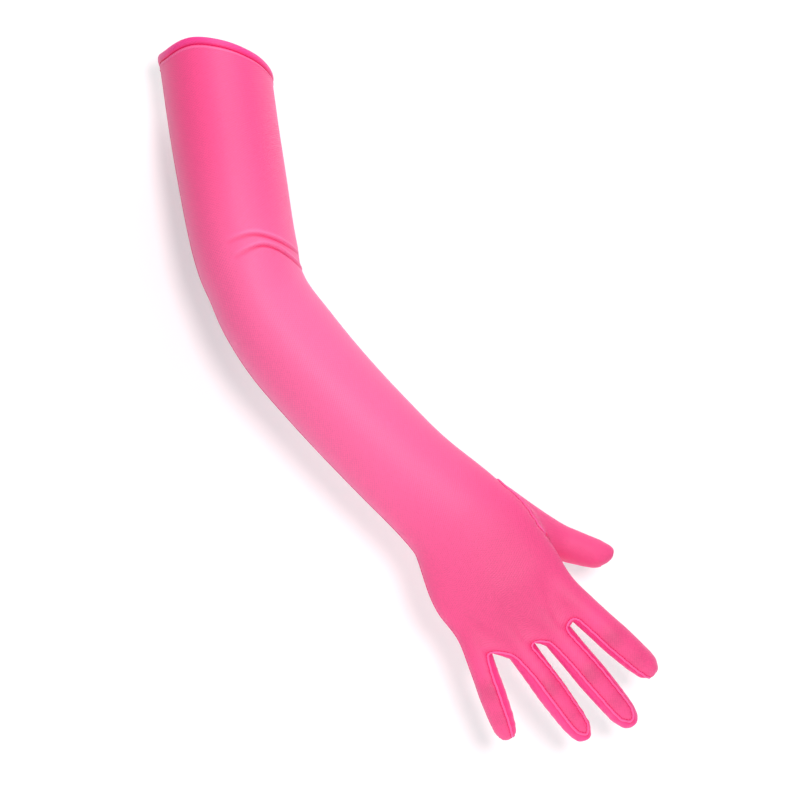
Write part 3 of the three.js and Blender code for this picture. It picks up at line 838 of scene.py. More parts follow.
def hem_lines(cloth):
    """The groove that the hem's stitches pull in, and the turned edge that shows below it. Its tone
    is painted shade in the groove and painted highlight on the edge.
    """
    v = cloth[:, 1]
    groove = np.exp(-(((v - HEM_HEIGHT) / HEM_GROOVE_WIDTH) ** 2))
    ridge = np.exp(-(((v - HEM_RIDGE_AT) / HEM_RIDGE_WIDTH) ** 2))
    roll = np.sqrt(np.clip(v / HEM_HEIGHT * (1 - v / HEM_HEIGHT) * 4, 0, 1))
    out = HEM_ROLL * roll + HEM_RIDGE_HEIGHT * ridge - HEM_GROOVE_DEPTH * groove
    return out, HEM_RIDGE_HIGHLIGHT * ridge - groove


def blobs(points, places):
    """Sum of soft round spots: each place is a centre, a radius and a strength."""
    total = np.zeros(len(points))
    for centre, radius, strength in places:
        apart = np.linalg.norm(points - centre, axis=1)
        total += strength * np.exp(-((apart / radius) ** 2))
    return total


KNUCKLE_BACK = 0.010
FIRST_JOINT = 0.40
SECOND_JOINT = 0.70

# Radius and strength of the spots over the knuckles, first and second joints: how far they stand
# out, and how much they tan the cloth
JOINT_BUMPS = ((0.010, 0.0009), (0.007, 0.0005), (0.006, 0.0003))
JOINT_TANS = ((0.012, 0.4), (0.008, 0.8), (0.007, 0.45))


def back_of(digit, share):
    here = digit.frame(share)
    return here.centre - here.through * 0.5 * digit.depth


def joint_places(knuckle, first, second):
    """Spots over the finger joints, each kind given as a radius and a strength."""
    places = []
    for digit in DIGITS:
        root = digit.frame(0)
        over = root.centre - root.along * KNUCKLE_BACK - WRIST.through * 0.5 * HAND_DEPTH
        places.append((over, *knuckle))
        places.append((back_of(digit, FIRST_JOINT), *first))
        places.append((back_of(digit, SECOND_JOINT), *second))
    return places


PUCKER_HEIGHT = 0.00024
PUCKER_REACH = 0.0042
PUCKER_LENGTH = 0.0068
PUCKER_DRIFT = 1.7
PUCKER_DRIFT_RATE = 93.0
SMALL_PUCKER = 0.5
SMALL_PUCKER_SHARE = 0.57
SMALL_PUCKER_START = 2.1
SEAM_DIP = 0.00035
SEAM_DIP_REACH = 0.0016
TIP_WRINKLE = 0.0007
TIP_WRINKLE_REACH = 0.015
TIP_WRINKLE_SIZE = 0.0056
TIP_AT = 0.93
POINTS_AT_A_TIME = 4000


def nearest_on(line, points):
    """Distance from each point to a line's points, and how far along the line that is."""
    steps = np.concatenate([[0], np.cumsum(np.linalg.norm(np.diff(line, axis=0), axis=1))])
    away, along = np.zeros(len(points)), np.zeros(len(points))
    for start in range(0, len(points), POINTS_AT_A_TIME):
        some = slice(start, start + POINTS_AT_A_TIME)
        square = ((points[some, None, :] - line[None, :, :]) ** 2).sum(axis=2)
        best = square.argmin(axis=1)
        away[some] = np.sqrt(square.min(axis=1))
        along[some] = steps[best]
    return away, along


def seam_puckers(points, line):
    """The cloth dips at a seam and ripples beside it. The dip is also returned as painted shade
    along the seam.
    """
    away, along = nearest_on(line, points)
    drift = PUCKER_DRIFT * np.sin(along * PUCKER_DRIFT_RATE)
    wave = np.sin(2 * math.pi * along / PUCKER_LENGTH + drift)
    turns = 2 * math.pi * along / (SMALL_PUCKER_SHARE * PUCKER_LENGTH)
    wave += SMALL_PUCKER * np.sin(turns + SMALL_PUCKER_START)
    ripple = PUCKER_HEIGHT * wave * np.exp(-((away / PUCKER_REACH) ** 2))
    dip = np.exp(-((away / SEAM_DIP_REACH) ** 2))
    return ripple - SEAM_DIP * dip, dip


def tip_wrinkles(points):
    """Small uneven wrinkles where the cloth is gathered round each fingertip."""
    near = np.zeros(len(points))
    for digit in [*DIGITS, THUMB]:
        apart = np.linalg.norm(points - digit.frame(TIP_AT).centre, axis=1)
        near = np.maximum(near, np.exp(-((apart / TIP_WRINKLE_REACH) ** 2)))
    rough = np.array([noise.noise(Vector(p / TIP_WRINKLE_SIZE)) for p in points])
    return TIP_WRINKLE * near * rough


def shaped_surface():
    """The glove's whole surface with its folds, knuckles and seam puckers, and its seam lines."""
    cage, side_seam, thumb_line = build_cage()
    surface = Surface(cage)
    surface.ease_seams(surface.edge_between(SLEEVE, STRIP))
    surface.ease_seams(surface.edge_between(SLEEVE, THUMB_PIECE))
    cloth = np.zeros((len(surface.points), 2))
    cloth[surface.faces.ravel()] = surface.cloth.reshape(-1, 2)
    sleeve = np.zeros(len(surface.points), bool)
    arm = surface.faces[(surface.labels == SLEEVE) | (surface.labels == HEM)]
    sleeve[arm.ravel()] = True
    sleeve &= cloth[:, 1] < ARM_LENGTH
    folds, fold_shade_and_highlight = elbow_folds(cloth)
    hem, hem_shade_and_highlight = hem_lines(cloth)
    out = np.where(sleeve, folds + hem, 0.0)
    # Painted shade in the fold and hem grooves, painted highlight on their ridges
    painted_shade_and_highlight = np.where(sleeve, fold_shade_and_highlight + hem_shade_and_highlight, 0.0)
    out += blobs(surface.points, joint_places(*JOINT_BUMPS))
    surface.points += surface.normals * out[:, None]
    surface.update()

    lines = {
        "finger": surface.edge_between(SLEEVE, STRIP),
        "thumb": surface.edge_between(SLEEVE, THUMB_PIECE),
        "hem": surface.edge_between(SLEEVE, HEM),
    }
    out = tip_wrinkles(surface.points)
    for chain in lines["finger"] + lines["thumb"]:
        puckers, dip = seam_puckers(surface.points, surface.points[chain])
        out += puckers
        # Painted shade along each seam's dip
        painted_shade_and_highlight -= dip
    surface.points += surface.normals * out[:, None]
    surface.update()
    lines["side"] = np.array([cage.points[i] for i in side_seam])
    lines["thumb_side"] = np.array([cage.points[i] for i in thumb_line])
    return surface, lines, np.clip(painted_shade_and_highlight, -1, 1)


SHARP_ANGLE = 55


def edges_of(faces):
    """Each edge of the faces, in the face's own direction: the face's number and the corner."""
    return {
        (face[i], face[(i + 1) % 4]): (number, i)
        for number, face in enumerate(faces.tolist()) for i in range(4)}


def drawn_back(surface, rims, every):
    """Where a piece's rim meets its neighbour's, how far its points draw back to leave a gap."""
    draw = np.zeros_like(surface.points)
    for start, end in rims:
        if (end, start) not in every:
            continue
        along = unit(surface.points[end] - surface.points[start])
        for corner in (start, end):
            draw[corner] += np.cross(surface.normals[corner], along)
    drawn = np.linalg.norm(draw, axis=1) > 0
    draw[drawn] *= 0.5 * SEAM_GAP / np.linalg.norm(draw[drawn], axis=1, keepdims=True)
    return draw


def cloth_mesh(surface, label, name, proud, thickness, tones):
    """One piece of cloth with a wall: outside, inside, and rims along its cut edges, flat
    where it meets a neighbour and rounded where it ends in the open."""
    keep = surface.labels == label
    own, cloth = surface.faces[keep], surface.cloth[keep]
    edges, every = edges_of(own), edges_of(surface.faces)
    rims = [edge for edge in edges if edge[::-1] not in edges]

    used = np.unique(own)
    count = len(used)
    place = np.full(len(surface.points), -1)
    place[used] = np.arange(count)
    base = surface.points[used] + drawn_back(surface, rims, every)[used]
    normal = surface.normals[used]
    layers = [base + normal * proud, base + normal * (proud - thickness)]
    faces = [tuple(face) for face in place[own].tolist()]
    inner = [tuple(count + i for i in reversed(face)) for face in faces]
    uvs = [corners.tolist() for corners in cloth] + [corners[::-1].tolist() for corners in cloth]
    spread = {key: [values[used], values[used]] for key, values in tones.items()}
    around, middle_of = [], {}
    for start, end in rims:
        number, i = edges[(start, end)]
        uv_start, uv_end = cloth[number][i].tolist(), cloth[number][(i + 1) % 4].tolist()
        rim_uv = [uv_end, uv_start, uv_start, uv_end]
        a, b = int(place[start]), int(place[end])
        if (end, start) in every:
            around.append((b, a, count + a, count + b))
            uvs.append(rim_uv)
            continue
        along = unit(surface.points[end] - surface.points[start])
        outwards = -np.cross(surface.normals[start], along)
        for corner in (a, b):
            if corner not in middle_of:
                middle_of[corner] = 2 * count + len(middle_of)
                middle = 0.5 * (layers[0][corner] + layers[1][corner])
                layers.append((middle + outwards * 0.5 * thickness)[None, :])
                for key, values in tones.items():
                    spread[key].append(values[used][corner:corner + 1])
        m, n = middle_of[a], middle_of[b]
        around += [(b, a, m, n), (n, m, count + a, count + b)]
        uvs += [rim_uv, rim_uv]

    mesh = bpy.data.meshes.new(name)
    mesh.from_pydata(np.vstack(layers).tolist(), [], faces + inner + around)
    mesh.uv_layers.new(name="cloth").data.foreach_set("uv", np.array(uvs).ravel())
    for key, values in spread.items():
        attribute = mesh.attributes.new(key, "FLOAT", "POINT")
        attribute.data.foreach_set("value", np.concatenate(values))
    mesh.shade_smooth()
    mesh.set_sharp_from_angle(angle=math.radians(SHARP_ANGLE))
    return add_object(name, mesh)


class Nodes:
    """A node tree, with one way to add a node and to feed its sockets."""

    def __init__(self, tree):
        self.tree = tree

    def add(self, kind, inputs=None, output=0, **settings):
        """A new node: its settings first, then values or links for its sockets."""
        node = self.tree.nodes.new(kind)
        for name, value in settings.items():
            setattr(node, name, value)
        for key, value in (inputs or {}).items():
            if isinstance(value, Signal):
                value = value.socket
            if isinstance(value, bpy.types.NodeSocket):
                self.tree.links.new(value, node.inputs[key])
            else:
                node.inputs[key].default_value = value
        return Signal(self, node.outputs[output]) if node.outputs else node


class Signal:
    """A socket's value. Arithmetic on it adds Math nodes."""

    def __init__(self, nodes, socket):
        self.nodes, self.socket = nodes, socket

    def math(self, operation, *others):
        inputs = dict(enumerate([self, *others]))
        return self.nodes.add("ShaderNodeMath", inputs, operation=operation)

    def __add__(self, other):
        return self.math("ADD", other)

    def __sub__(self, other):
        return self.math("SUBTRACT", other)

    def __rsub__(self, other):
        return self.nodes.add("ShaderNodeMath", {0: other, 1: self}, operation="SUBTRACT")

    def __mul__(self, other):
        return self.math("MULTIPLY", other)

    __radd__, __rmul__ = __add__, __mul__


def node_group(name, inputs):
    """A Geometry Nodes tree with named inputs, and the sockets of its group input."""
    tree = bpy.data.node_groups.new(name, "GeometryNodeTree")
    tree.interface.new_socket("Geometry", in_out="INPUT", socket_type="NodeSocketGeometry")
    for label, kind in inputs.items():
        tree.interface.new_socket(label, in_out="INPUT", socket_type="NodeSocket" + kind)
    tree.interface.new_socket("Geometry", in_out="OUTPUT", socket_type="NodeSocketGeometry")
    return Nodes(tree), tree.nodes.new("NodeGroupInput").outputs


STITCH_SIDES = 6
STITCH_RINGS = 4
STITCH_TURN = 0.06


def stitch_row_tree():
    """Stitches along a line, each turned a little out of it."""
    nodes, given = node_group("stitch_row", {
        "Pitch": "Float", "Length": "Float", "Thickness": "Float", "Seed": "Int",
        "Thread": "Material"})
    curve = nodes.add("GeometryNodeMeshToCurve", {"Mesh": given["Geometry"]})
    spaced = nodes.add(
        "GeometryNodeResampleCurve", {"Curve": curve, "Length": given["Pitch"]}, mode="LENGTH")
    tangent = nodes.add("GeometryNodeInputTangent")
    up = nodes.add("GeometryNodeInputNamedAttribute", {"Name": "up"}, data_type="FLOAT_VECTOR")
    along = nodes.add("FunctionNodeAlignRotationToVector", {"Vector": tangent}, axis="X")
    upright = nodes.add(
        "FunctionNodeAlignRotationToVector", {"Rotation": along, "Vector": up},
        axis="Z", pivot_axis="X")
    uneven = nodes.add(
        "FunctionNodeRandomValue", {2: -STITCH_TURN, 3: STITCH_TURN, "Seed": given["Seed"]},
        output=1, data_type="FLOAT")
    turn = nodes.add("FunctionNodeAxisAngleToRotation", {"Axis": (0, 0, 1), "Angle": uneven})
    turned = nodes.add(
        "FunctionNodeRotateRotation", {"Rotation": upright, "Rotate By": turn},
        rotation_space="LOCAL")
    ball = nodes.add(
        "GeometryNodeMeshUVSphere",
        {"Segments": STITCH_SIDES, "Rings": STITCH_RINGS, "Radius": 0.5})
    size = nodes.add(
        "ShaderNodeCombineXYZ",
        {"X": given["Length"], "Y": given["Thickness"], "Z": given["Thickness"]})
    stitch = nodes.add("GeometryNodeTransform", {"Geometry": ball, "Scale": size})
    placed = nodes.add(
        "GeometryNodeInstanceOnPoints",
        {"Points": spaced, "Instance": stitch, "Rotation": turned})
    finish_tree(nodes, placed, given["Thread"])
    return nodes.tree


def finish_tree(nodes, geometry, material):
    """The end of each tree: real mesh, smooth, with its material."""
    real = nodes.add("GeometryNodeRealizeInstances", {"Geometry": geometry})
    smooth = nodes.add("GeometryNodeSetShadeSmooth", {"Geometry": real})
    dressed = nodes.add("GeometryNodeSetMaterial", {"Geometry": smooth, "Material": material})
    nodes.add("NodeGroupOutput", {"Geometry": dressed})


ROLL_SIDES = 8


def seam_roll_tree():
    """A rolled seam edge along a line, a little uneven in thickness."""
    nodes, given = node_group("seam_roll", {
        "Radius": "Float", "Unevenness": "Float", "Bump Size": "Float", "Cloth": "Material"})
    curve = nodes.add("GeometryNodeMeshToCurve", {"Mesh": given["Geometry"]})
    place = nodes.add("GeometryNodeInputPosition")
    uneven = nodes.add(
        "ShaderNodeTexNoise", {"Vector": place, "Scale": given["Bump Size"], "Detail": 1.0})
    radius = (uneven - 0.5) * given["Unevenness"] + 1.0
    shaped = nodes.add("GeometryNodeSetCurveRadius", {"Curve": curve, "Radius": radius})
    circle = nodes.add(
        "GeometryNodeCurvePrimitiveCircle",
        {"Resolution": ROLL_SIDES, "Radius": given["Radius"]}, mode="RADIUS")
    roll = nodes.add(
        "GeometryNodeCurveToMesh", {"Curve": shaped, "Profile Curve": circle, "Fill Caps": True})
    finish_tree(nodes, roll, given["Cloth"])
    return nodes.tree


def line_object(line, ups, closed):
    """A line of mesh edges that carries the cloth's direction out at each point."""
    count = len(line)
    edges = [(i, i + 1) for i in range(count - 1)] + ([(count - 1, 0)] if closed else [])
    mesh = bpy.data.meshes.new("line")
    mesh.from_pydata(line.tolist(), edges, [])
    mesh.attributes.new("up", "FLOAT_VECTOR", "POINT").data.foreach_set("vector", ups.ravel())
    return add_object("line", mesh)


def grow(name, tree, lines, values):
    """Runs a Geometry Nodes tree along each line and joins the results into one plain mesh."""
    parts = []
    for line, ups, closed in lines:
        holder = line_object(line, ups, closed)
        modifier = holder.modifiers.new("grow", "NODES")
        modifier.node_group = tree
        for item in tree.interface.items_tree:
            if item.in_out == "INPUT" and item.name in values:
                modifier[item.identifier] = values[item.name]
        holder.update_tag()
        graph = bpy.context.evaluated_depsgraph_get()
        parts.append(bpy.data.meshes.new_from_object(holder.evaluated_get(graph)))
        holder.modifiers.clear()
        bpy.data.objects.remove(holder)
    points, faces, start = [], [], 0
    for part in parts:
        place = np.zeros(len(part.vertices) * 3)
        part.vertices.foreach_get("co", place)
        points.append(place.reshape(-1, 3))
        faces += [tuple(start + i for i in face.vertices) for face in part.polygons]
        start += len(part.vertices)
    mesh = bpy.data.meshes.new(name)
    mesh.from_pydata(np.vstack(points).tolist(), [], faces)
    mesh.materials.append(next(material for material in parts[0].materials if material))
    mesh.shade_smooth()
    for part in parts:
        bpy.data.meshes.remove(part)
    return add_object(name, mesh)


# Colours, as linear red, green and blue
MESH_PINK = (0.900, 0.064, 0.245)
MESH_TAN = (0.640, 0.054, 0.175)
STRIP_PINK = (0.890, 0.040, 0.250)
HEM_PINK = (0.900, 0.036, 0.260)
# Paler than the cloth: a painted highlight on the rolled seams
ROLL_HIGHLIGHT_PINK = (0.950, 0.120, 0.370)
# Painted shade in grooves and painted highlight on ridges
GROOVE_SHADE_PINK = (0.880, 0.010, 0.130)
RIDGE_HIGHLIGHT_PINK = (0.970, 0.210, 0.480)
# Paler pink where the cloth stretches, partly painted light
STRETCH_AND_LIGHT_PINK = (0.950, 0.170, 0.390)
THREAD_PINK = (0.780, 0.010, 0.130)
SHEEN_TINT = (1.0, 0.50, 0.82)

# The knit, and noise on the cloth. A noise's own value is its scale: the higher, the finer
KNIT_PITCH = 0.0016
KNIT_SLOPE = 0.6
KNIT_DEPTH = 0.0002
BROAD_NOISE = 26.0
FINE_NOISE = 900.0
UNEVEN_TAN = 0.35
UNEVEN_ROUGHNESS = 0.12
FINE_RELIEF = 0.4
GRAIN = 0.09
MESH_GRAIN = 0.14
CLOTH_ROUGHNESS = 0.54
# How strongly the painted shade in grooves and the painted highlight on ridges show
GROOVE_SHADE_SHOWS = 0.8
RIDGE_HIGHLIGHT_SHOWS = 0.6

# Rolled seams and thread
RIB_SHADE = 0.3
RIB_DEPTH = 0.0003
RIB_ROUGHNESS = (0.45, 0.2)


def new_material(name):
    material = bpy.data.materials.new(name)
    material.use_nodes = True
    material.node_tree.nodes.clear()
    return material, Nodes(material.node_tree)


def colour_mix(nodes, factor, a, b, blend="MIX"):
    return nodes.add(
        "ShaderNodeMix", {0: factor, 6: a, 7: b}, output=2, data_type="RGBA", blend_type=blend)


def shaded(nodes, colour, shade):
    """A colour made darker or lighter by one value."""
    grey = nodes.add("ShaderNodeCombineXYZ", {0: shade, 1: shade, 2: shade})
    return colour_mix(nodes, 1.0, colour, grey, "MULTIPLY")


def attribute(nodes, name):
    return nodes.add("ShaderNodeAttribute", output=2, attribute_name=name)


def clamped(signal):
    return signal.math("MAXIMUM", 0.0).math("MINIMUM", 1.0)


def knit(nodes, pitch):
    """Height of a fine diagonal mesh, from the cloth's own coordinates."""
    cloth = nodes.add("ShaderNodeUVMap", uv_map="cloth")
    u, v = (nodes.add("ShaderNodeSeparateXYZ", {0: cloth}, output=i) for i in range(2))
    turn = 2 * math.pi / pitch
    rising = ((u * KNIT_SLOPE + v) * turn).math("SINE")
    falling = ((u * KNIT_SLOPE - v) * turn).math("SINE")
    return (rising + falling * 0.5) * 0.33 + 0.5


def stretch_cloth(name, colour, tanned, knit_bump, sheen, grain=GRAIN):
    """Fine matt stretch mesh: knitted relief, slight unevenness of colour, paler spots that are
    partly painted light, painted shade in grooves and painted highlight on ridges, a soft pale
    edge.
    """
    material, nodes = new_material(name)
    place = nodes.add("ShaderNodeTexCoord", output=3)
    broad = nodes.add(
        "ShaderNodeTexNoise", {"Vector": place, "Scale": BROAD_NOISE, "Detail": 3.0})
    fine = nodes.add(
        "ShaderNodeTexNoise", {"Vector": place, "Scale": FINE_NOISE, "Detail": 2.0})
    height = knit(nodes, KNIT_PITCH)
    painted_shade_and_highlight = attribute(nodes, "painted_shade_and_highlight")
    tan = clamped(attribute(nodes, "tone") + (broad - 0.5) * UNEVEN_TAN)
    base = colour_mix(nodes, tan, (*colour, 1), (*tanned, 1))
    # Paler spots: partly stretched cloth, partly painted light
    base = colour_mix(nodes, attribute(nodes, "pale"), base, (*STRETCH_AND_LIGHT_PINK, 1))
    # Painted shade in grooves and painted highlight on ridges
    base = colour_mix(nodes, clamped(painted_shade_and_highlight * -GROOVE_SHADE_SHOWS), base, (*GROOVE_SHADE_PINK, 1))
    base = colour_mix(nodes, clamped(painted_shade_and_highlight * RIDGE_HIGHLIGHT_SHOWS), base, (*RIDGE_HIGHLIGHT_PINK, 1))
    base = shaded(nodes, base, (height - 0.5) * grain + (fine - 0.5) * (2 * grain) + 1.0)
    rough = (fine - 0.5) * UNEVEN_ROUGHNESS + (CLOTH_ROUGHNESS - height * 0.06)
    relief = height + (fine - 0.5) * FINE_RELIEF
    bump = nodes.add(
        "ShaderNodeBump", {"Height": relief, "Strength": knit_bump, "Distance": KNIT_DEPTH})
    surface = nodes.add(
        "ShaderNodeBsdfPrincipled",
        {"Base Color": base, "Roughness": rough, "Normal": bump, "Sheen Weight": sheen,
         "Sheen Roughness": 0.45, "Sheen Tint": (*SHEEN_TINT, 1), "Specular IOR Level": 0.5})
    nodes.add("ShaderNodeOutputMaterial", {"Surface": surface})
    return material


def rolled_cloth(name, colour, rib_noise, sheen, rib_bump, gloss=0.3):
    """Cloth rolled into a seam, or thread, with fine ribs from noise on the object's place."""
    material, nodes = new_material(name)
    place = nodes.add("ShaderNodeTexCoord", output=3)
    ribs = nodes.add("ShaderNodeTexNoise", {"Vector": place, "Scale": rib_noise, "Detail": 2.0})
    base = shaded(nodes, (*colour, 1), (ribs - 0.5) * RIB_SHADE + 1.0)
    smoothest, roughness_range = RIB_ROUGHNESS
    bump = nodes.add(
        "ShaderNodeBump", {"Height": ribs, "Strength": rib_bump, "Distance": RIB_DEPTH})
    surface = nodes.add(
        "ShaderNodeBsdfPrincipled",
        {"Base Color": base, "Roughness": ribs * roughness_range + smoothest, "Normal": bump,
         "Sheen Weight": sheen, "Sheen Roughness": 0.35, "Sheen Tint": (*SHEEN_TINT, 1),
         "Specular IOR Level": gloss})
    nodes.add("ShaderNodeOutputMaterial", {"Surface": surface})
    return material


MESH_CLOTH = stretch_cloth(
    "stretch_mesh", MESH_PINK, MESH_TAN, knit_bump=0.6, sheen=0.18, grain=MESH_GRAIN)
STRIP_CLOTH = stretch_cloth("strip_mesh", STRIP_PINK, STRIP_PINK, knit_bump=0.4, sheen=0.20)
HEM_CLOTH = stretch_cloth("hem_mesh", HEM_PINK, HEM_PINK, knit_bump=0.6, sheen=0.20)
ROLLED_CLOTH = rolled_cloth(
    "rolled_seam_cloth", ROLL_HIGHLIGHT_PINK, rib_noise=700.0, sheen=0.40, rib_bump=0.5)
THREAD = rolled_cloth(
    "sewing_thread", THREAD_PINK, rib_noise=2500.0, sheen=0.0, rib_bump=0.4, gloss=0.08)

# Seam lines, the rolled edges along them, and the stitches beside them
LINE_STEP = 0.0012
LINE_EASE = 3
INSET_EASE = 6
THUMB_SEAM_LIFT = 0.0003
FINGER_ROLL_RADIUS = 0.00078
THUMB_ROLL_RADIUS = 0.00075
SIDE_ROLL_RADIUS = 0.00045
HEM_ROLL_RADIUS = 0.00042
ROLL_UNEVENNESS = 0.5
ROLL_BUMP_SIZE = 260.0
STITCH_INSET = 0.00125
SIDE_STITCH_INSET = 0.001
HEM_STITCH_INSET = 0.0006
STITCH_LIFT = 0.00008
STITCH_PITCH = 0.0021
STITCH_LENGTH = 0.0019
STITCH_THICKNESS = 0.00042
WIDE_STITCH_PITCH = 0.0026
HEM_STITCH_LENGTH = 0.0021


def seam_line(surface, chain, lift=0.0, closed=True):
    """A seam's line over the cloth, evenly spaced, with the cloth's normals."""
    line = surface.points[chain] if isinstance(chain, list) else chain
    if closed and np.linalg.norm(line[0] - line[-1]) < 1e-7:
        line = line[:-1]
    line = smoothed(evenly(line, LINE_STEP, closed), LINE_EASE, closed)
    return (*surface.drop(line, lift), closed)


def beside(surface, line, ups, closed, inset, lift):
    """A line at a distance to the left of another one, laid on the cloth."""
    ahead = np.roll(line, -1, axis=0) - np.roll(line, 1, axis=0)
    if not closed:
        ahead[0], ahead[-1] = line[1] - line[0], line[-1] - line[-2]
    left = np.cross(ups, ahead)
    left /= np.linalg.norm(left, axis=1, keepdims=True)
    moved = smoothed(line + left * inset, INSET_EASE, closed)
    return (*surface.drop(moved, lift), closed)


class Sewing:
    """Makes the seams' rolled edges and the rows of stitches on the glove's surface."""

    def __init__(self, surface):
        self.surface = surface
        self.roll_tree, self.stitch_tree = seam_roll_tree(), stitch_row_tree()

    def roll(self, name, seams, radius, slot, material=ROLLED_CLOTH):
        piece = grow(name, self.roll_tree, seams, {
            "Radius": radius, "Unevenness": ROLL_UNEVENNESS, "Bump Size": ROLL_BUMP_SIZE,
            "Cloth": material})
        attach(piece, "root")
        return piece

    def stitch(self, name, seams, inset, slot, seed, pitch=STITCH_PITCH, length=STITCH_LENGTH):
        rows = [beside(self.surface, *seam, inset, STITCH_LIFT) for seam in seams]
        piece = grow(name, self.stitch_tree, rows, {
            "Pitch": pitch, "Length": length, "Thickness": STITCH_THICKNESS, "Seed": seed,
            "Thread": THREAD})
        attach(piece, "root")
        return piece


# proud: how far a piece's outside stands out from the cloth beside it
CLOTHS = table(
    "node proud thickness material slot",
    ("hem_band", HEM_PROUD, HEM_THICKNESS, HEM_CLOTH, "hem_cloth"),
    ("sleeve_and_hand", 0.0, CLOTH_THICKNESS, MESH_CLOTH, "mesh_cloth"),
    ("finger_strip", 0.0, CLOTH_THICKNESS, STRIP_CLOTH, "strip_cloth"),
    ("thumb", 0.0, CLOTH_THICKNESS, MESH_CLOTH, "mesh_cloth"),
)

# Radius and strength of the tanned spot on the back of the hand, and of the paler spots along
# the arm, partly stretched cloth and partly painted light, at shares of the arm's length
HAND_TAN = (0.045, 0.45)
STRETCH_AND_LIGHT_SPOT = (0.075, 0.42)
STRETCH_AND_LIGHT_AT = (0.42, 0.62, 0.84)


def cloth_tones(surface, painted_shade_and_highlight):
    """Values over the cloth for its colour: tanned, paler (partly stretched cloth, partly painted
    light), painted shade in grooves and painted highlight on ridges.
    """
    tone = blobs(surface.points, joint_places(*JOINT_TANS))
    hand_back = hand_frame(0.5 * HAND_LENGTH).centre - WRIST.through * 0.5 * HAND_DEPTH
    tone += blobs(surface.points, [(hand_back, *HAND_TAN)])
    pale = blobs(surface.points, [(arm_frame(share).centre, *STRETCH_AND_LIGHT_SPOT) for share in STRETCH_AND_LIGHT_AT])
    return {"tone": np.clip(tone, 0, 1), "pale": np.clip(pale, 0, 1), "painted_shade_and_highlight": painted_shade_and_highlight}


def build_glove():
    surface, lines, painted_shade_and_highlight = shaped_surface()
    tones = cloth_tones(surface, painted_shade_and_highlight)
    for row in CLOTHS:
        node = row["node"]
        piece = cloth_mesh(
            surface, PIECES.index(node), node + "_cloth", row["proud"], row["thickness"], tones)
        piece.data.materials.append(row["material"])
        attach(piece, "root")
        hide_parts(node)

    sewing = Sewing(surface)
    finger = [seam_line(surface, chain) for chain in lines["finger"]]
    thumb = [seam_line(surface, chain, THUMB_SEAM_LIFT) for chain in lines["thumb"]]
    hem = [seam_line(surface, chain) for chain in lines["hem"]]
    side = [seam_line(surface, lines["side"], closed=False)]
    thumb_side = [seam_line(surface, lines["thumb_side"], closed=False)]
    strip_sewing = [
        sewing.roll("finger_seam", finger, FINGER_ROLL_RADIUS, "strip_cloth"),
        sewing.stitch("finger_stitches", finger, STITCH_INSET, "strip_cloth", seed=15)]
    thumb_sewing = [
        sewing.roll("thumb_seam", thumb, THUMB_ROLL_RADIUS, "mesh_cloth"),
        sewing.roll("thumb_side_seam", thumb_side, SIDE_ROLL_RADIUS, "mesh_cloth"),
        sewing.stitch("thumb_stitches", thumb, STITCH_INSET, "mesh_cloth", seed=14)]
    side_sewing = [
        sewing.roll("side_seam", side, SIDE_ROLL_RADIUS, "mesh_cloth"),
        sewing.stitch(
            "side_stitches", side, SIDE_STITCH_INSET, "mesh_cloth", seed=13,
            pitch=WIDE_STITCH_PITCH)]
    hem_sewing = [
        sewing.roll("hem_seam", hem, HEM_ROLL_RADIUS, "hem_cloth", THREAD),
        sewing.stitch(
            "hem_stitches", hem, HEM_STITCH_INSET, "hem_cloth", seed=12,
            pitch=WIDE_STITCH_PITCH, length=HEM_STITCH_LENGTH)]


# View and light
VIEW_DISTANCE = 1.5
VIEW_CENTRE = (0.1255, -0.2264)
VIEW_WIDTH = 0.544
SENSOR = 36.0
FLOOR_DROP = 0.085
WALL_AT = 0.062
STAGE_RADIUS = 0.85
STAGE_SIDES = 64
STAGE_FADE = (0.43, 0.765)
STAGE_COLOUR = (0.97, 0.78, 0.80)
STAGE_GLOW = (0.25, 1.0, 0.95)
FLOOR_GLOW = 0.3
WALL_GLOW = 0.24
ROOM_COLOUR = (1.0, 0.98, 0.99)
ROOM_LIGHT = 0.27

# Place, size across and power of each round light
LIGHTS = {
    "front": ((0.36, -1.6, -0.06), 0.26, 12.8),
    "top": ((0.25, -0.45, 0.70), 0.9, 6.0),
    "left": ((-0.95, -1.0, -0.15), 1.0, 2.6),
}


def set_camera():
    data = bpy.data.cameras.new("camera")
    data.sensor_width = SENSOR
    data.lens = SENSOR * VIEW_DISTANCE / VIEW_WIDTH
    camera = add_object("camera", data)
    camera.location = (VIEW_CENTRE[0], -VIEW_DISTANCE, VIEW_CENTRE[1])
    camera.rotation_euler = (math.pi / 2, 0, 0)
    bpy.context.scene.camera = camera


def soft_light(name, place, size, power):
    """A round light that faces the middle of the view."""
    data = bpy.data.lights.new(name, "AREA")
    data.shape, data.size, data.energy = "DISK", size, power
    light = add_object(name, data)
    target = Vector((VIEW_CENTRE[0], 0, VIEW_CENTRE[1]))
    light.location = place
    light.rotation_mode = "QUATERNION"
    light.rotation_quaternion = (target - Vector(place)).to_track_quat("-Z", "Y")


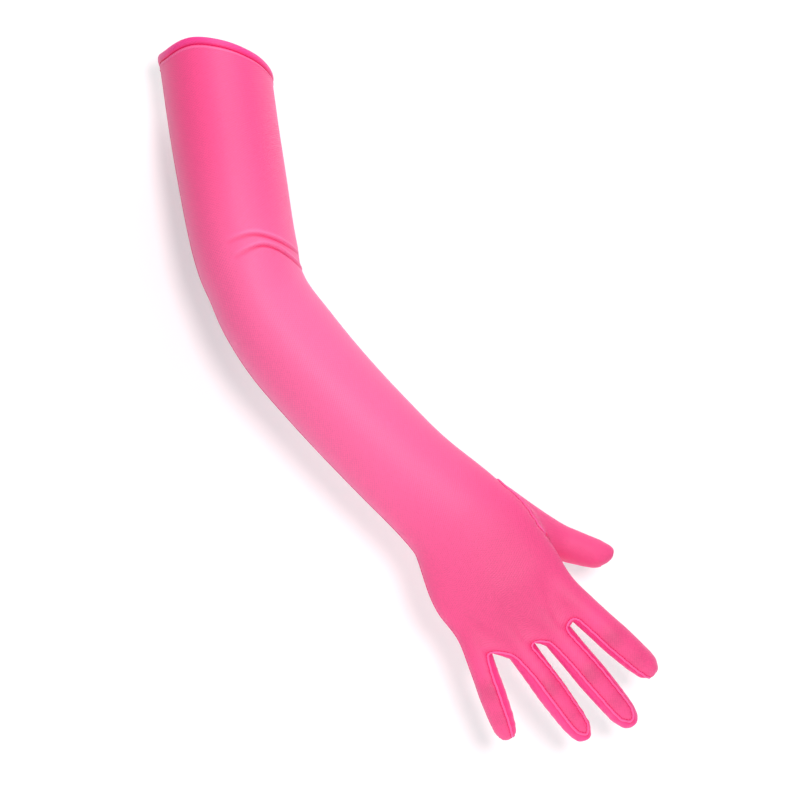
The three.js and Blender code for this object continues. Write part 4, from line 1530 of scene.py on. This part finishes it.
def stage_disc(name, centre, upwards, glow):
    """A round pale sheet that fades out towards its edge and isn't seen from behind. It
    reaches no further back than the wall."""
    mesh = bpy.data.meshes.new(name)
    ring = []
    for i in range(STAGE_SIDES):
        angle = 2 * math.pi * i / STAGE_SIDES
        reach = math.cos(angle) * Vector((1, 0, 0)) + math.sin(angle) * Vector(upwards)
        corner = Vector(centre) + STAGE_RADIUS * reach
        ring.append((corner.x, min(corner.y, WALL_AT), corner.z))
    mesh.from_pydata(ring, [], [tuple(range(STAGE_SIDES))])
    material, nodes = new_material(name)
    place = nodes.add("ShaderNodeTexCoord", output=3)
    apart = nodes.add(
        "ShaderNodeVectorMath", {0: place, 1: centre}, output=1, operation="DISTANCE")
    fade = nodes.add(
        "ShaderNodeMapRange", {0: apart, 1: STAGE_FADE[0], 2: STAGE_FADE[1], 3: 0.0, 4: 1.0},
        interpolation_type="SMOOTHSTEP")
    behind = nodes.add("ShaderNodeNewGeometry", output=6)
    surface = nodes.add(
        "ShaderNodeBsdfPrincipled",
        {"Base Color": (*STAGE_COLOUR, 1), "Roughness": 0.9, "Specular IOR Level": 0.0,
         "Emission Color": (*STAGE_GLOW, 1), "Emission Strength": glow})
    clear = nodes.add("ShaderNodeBsdfTransparent")
    both = nodes.add("ShaderNodeMixShader", {0: fade.math("MAXIMUM", behind), 1: surface, 2: clear})
    nodes.add("ShaderNodeOutputMaterial", {"Surface": both})
    mesh.materials.append(material)
    add_object(name, mesh)


def set_stage():
    """A pale floor and wall, and a white room that lights the glove less than it shows."""
    middle, height = VIEW_CENTRE
    level = solids_box[0].z - FLOOR_DROP
    stage_disc("floor", (middle, 0, level), (0, 1, 0), FLOOR_GLOW)
    stage_disc("wall", (middle, WALL_AT, height), (0, 0, 1), WALL_GLOW)

    world = bpy.data.worlds.new("studio")
    bpy.context.scene.world = world
    world.use_nodes = True
    world.node_tree.nodes.clear()
    nodes = Nodes(world.node_tree)
    seen = nodes.add("ShaderNodeLightPath", output=0)
    bright = nodes.add("ShaderNodeBackground", {"Color": (1, 1, 1, 1), "Strength": 1.0})
    dim = nodes.add(
        "ShaderNodeBackground", {"Color": (*ROOM_COLOUR, 1), "Strength": ROOM_LIGHT})
    both = nodes.add("ShaderNodeMixShader", {0: seen, 1: dim, 2: bright})
    nodes.add("ShaderNodeOutputWorld", {"Surface": both})
    bpy.context.scene.view_settings.view_transform = "Standard"
    for name, (place, size, power) in LIGHTS.items():
        soft_light(name, place, size, power)


set_camera()
set_stage()
build_glove()
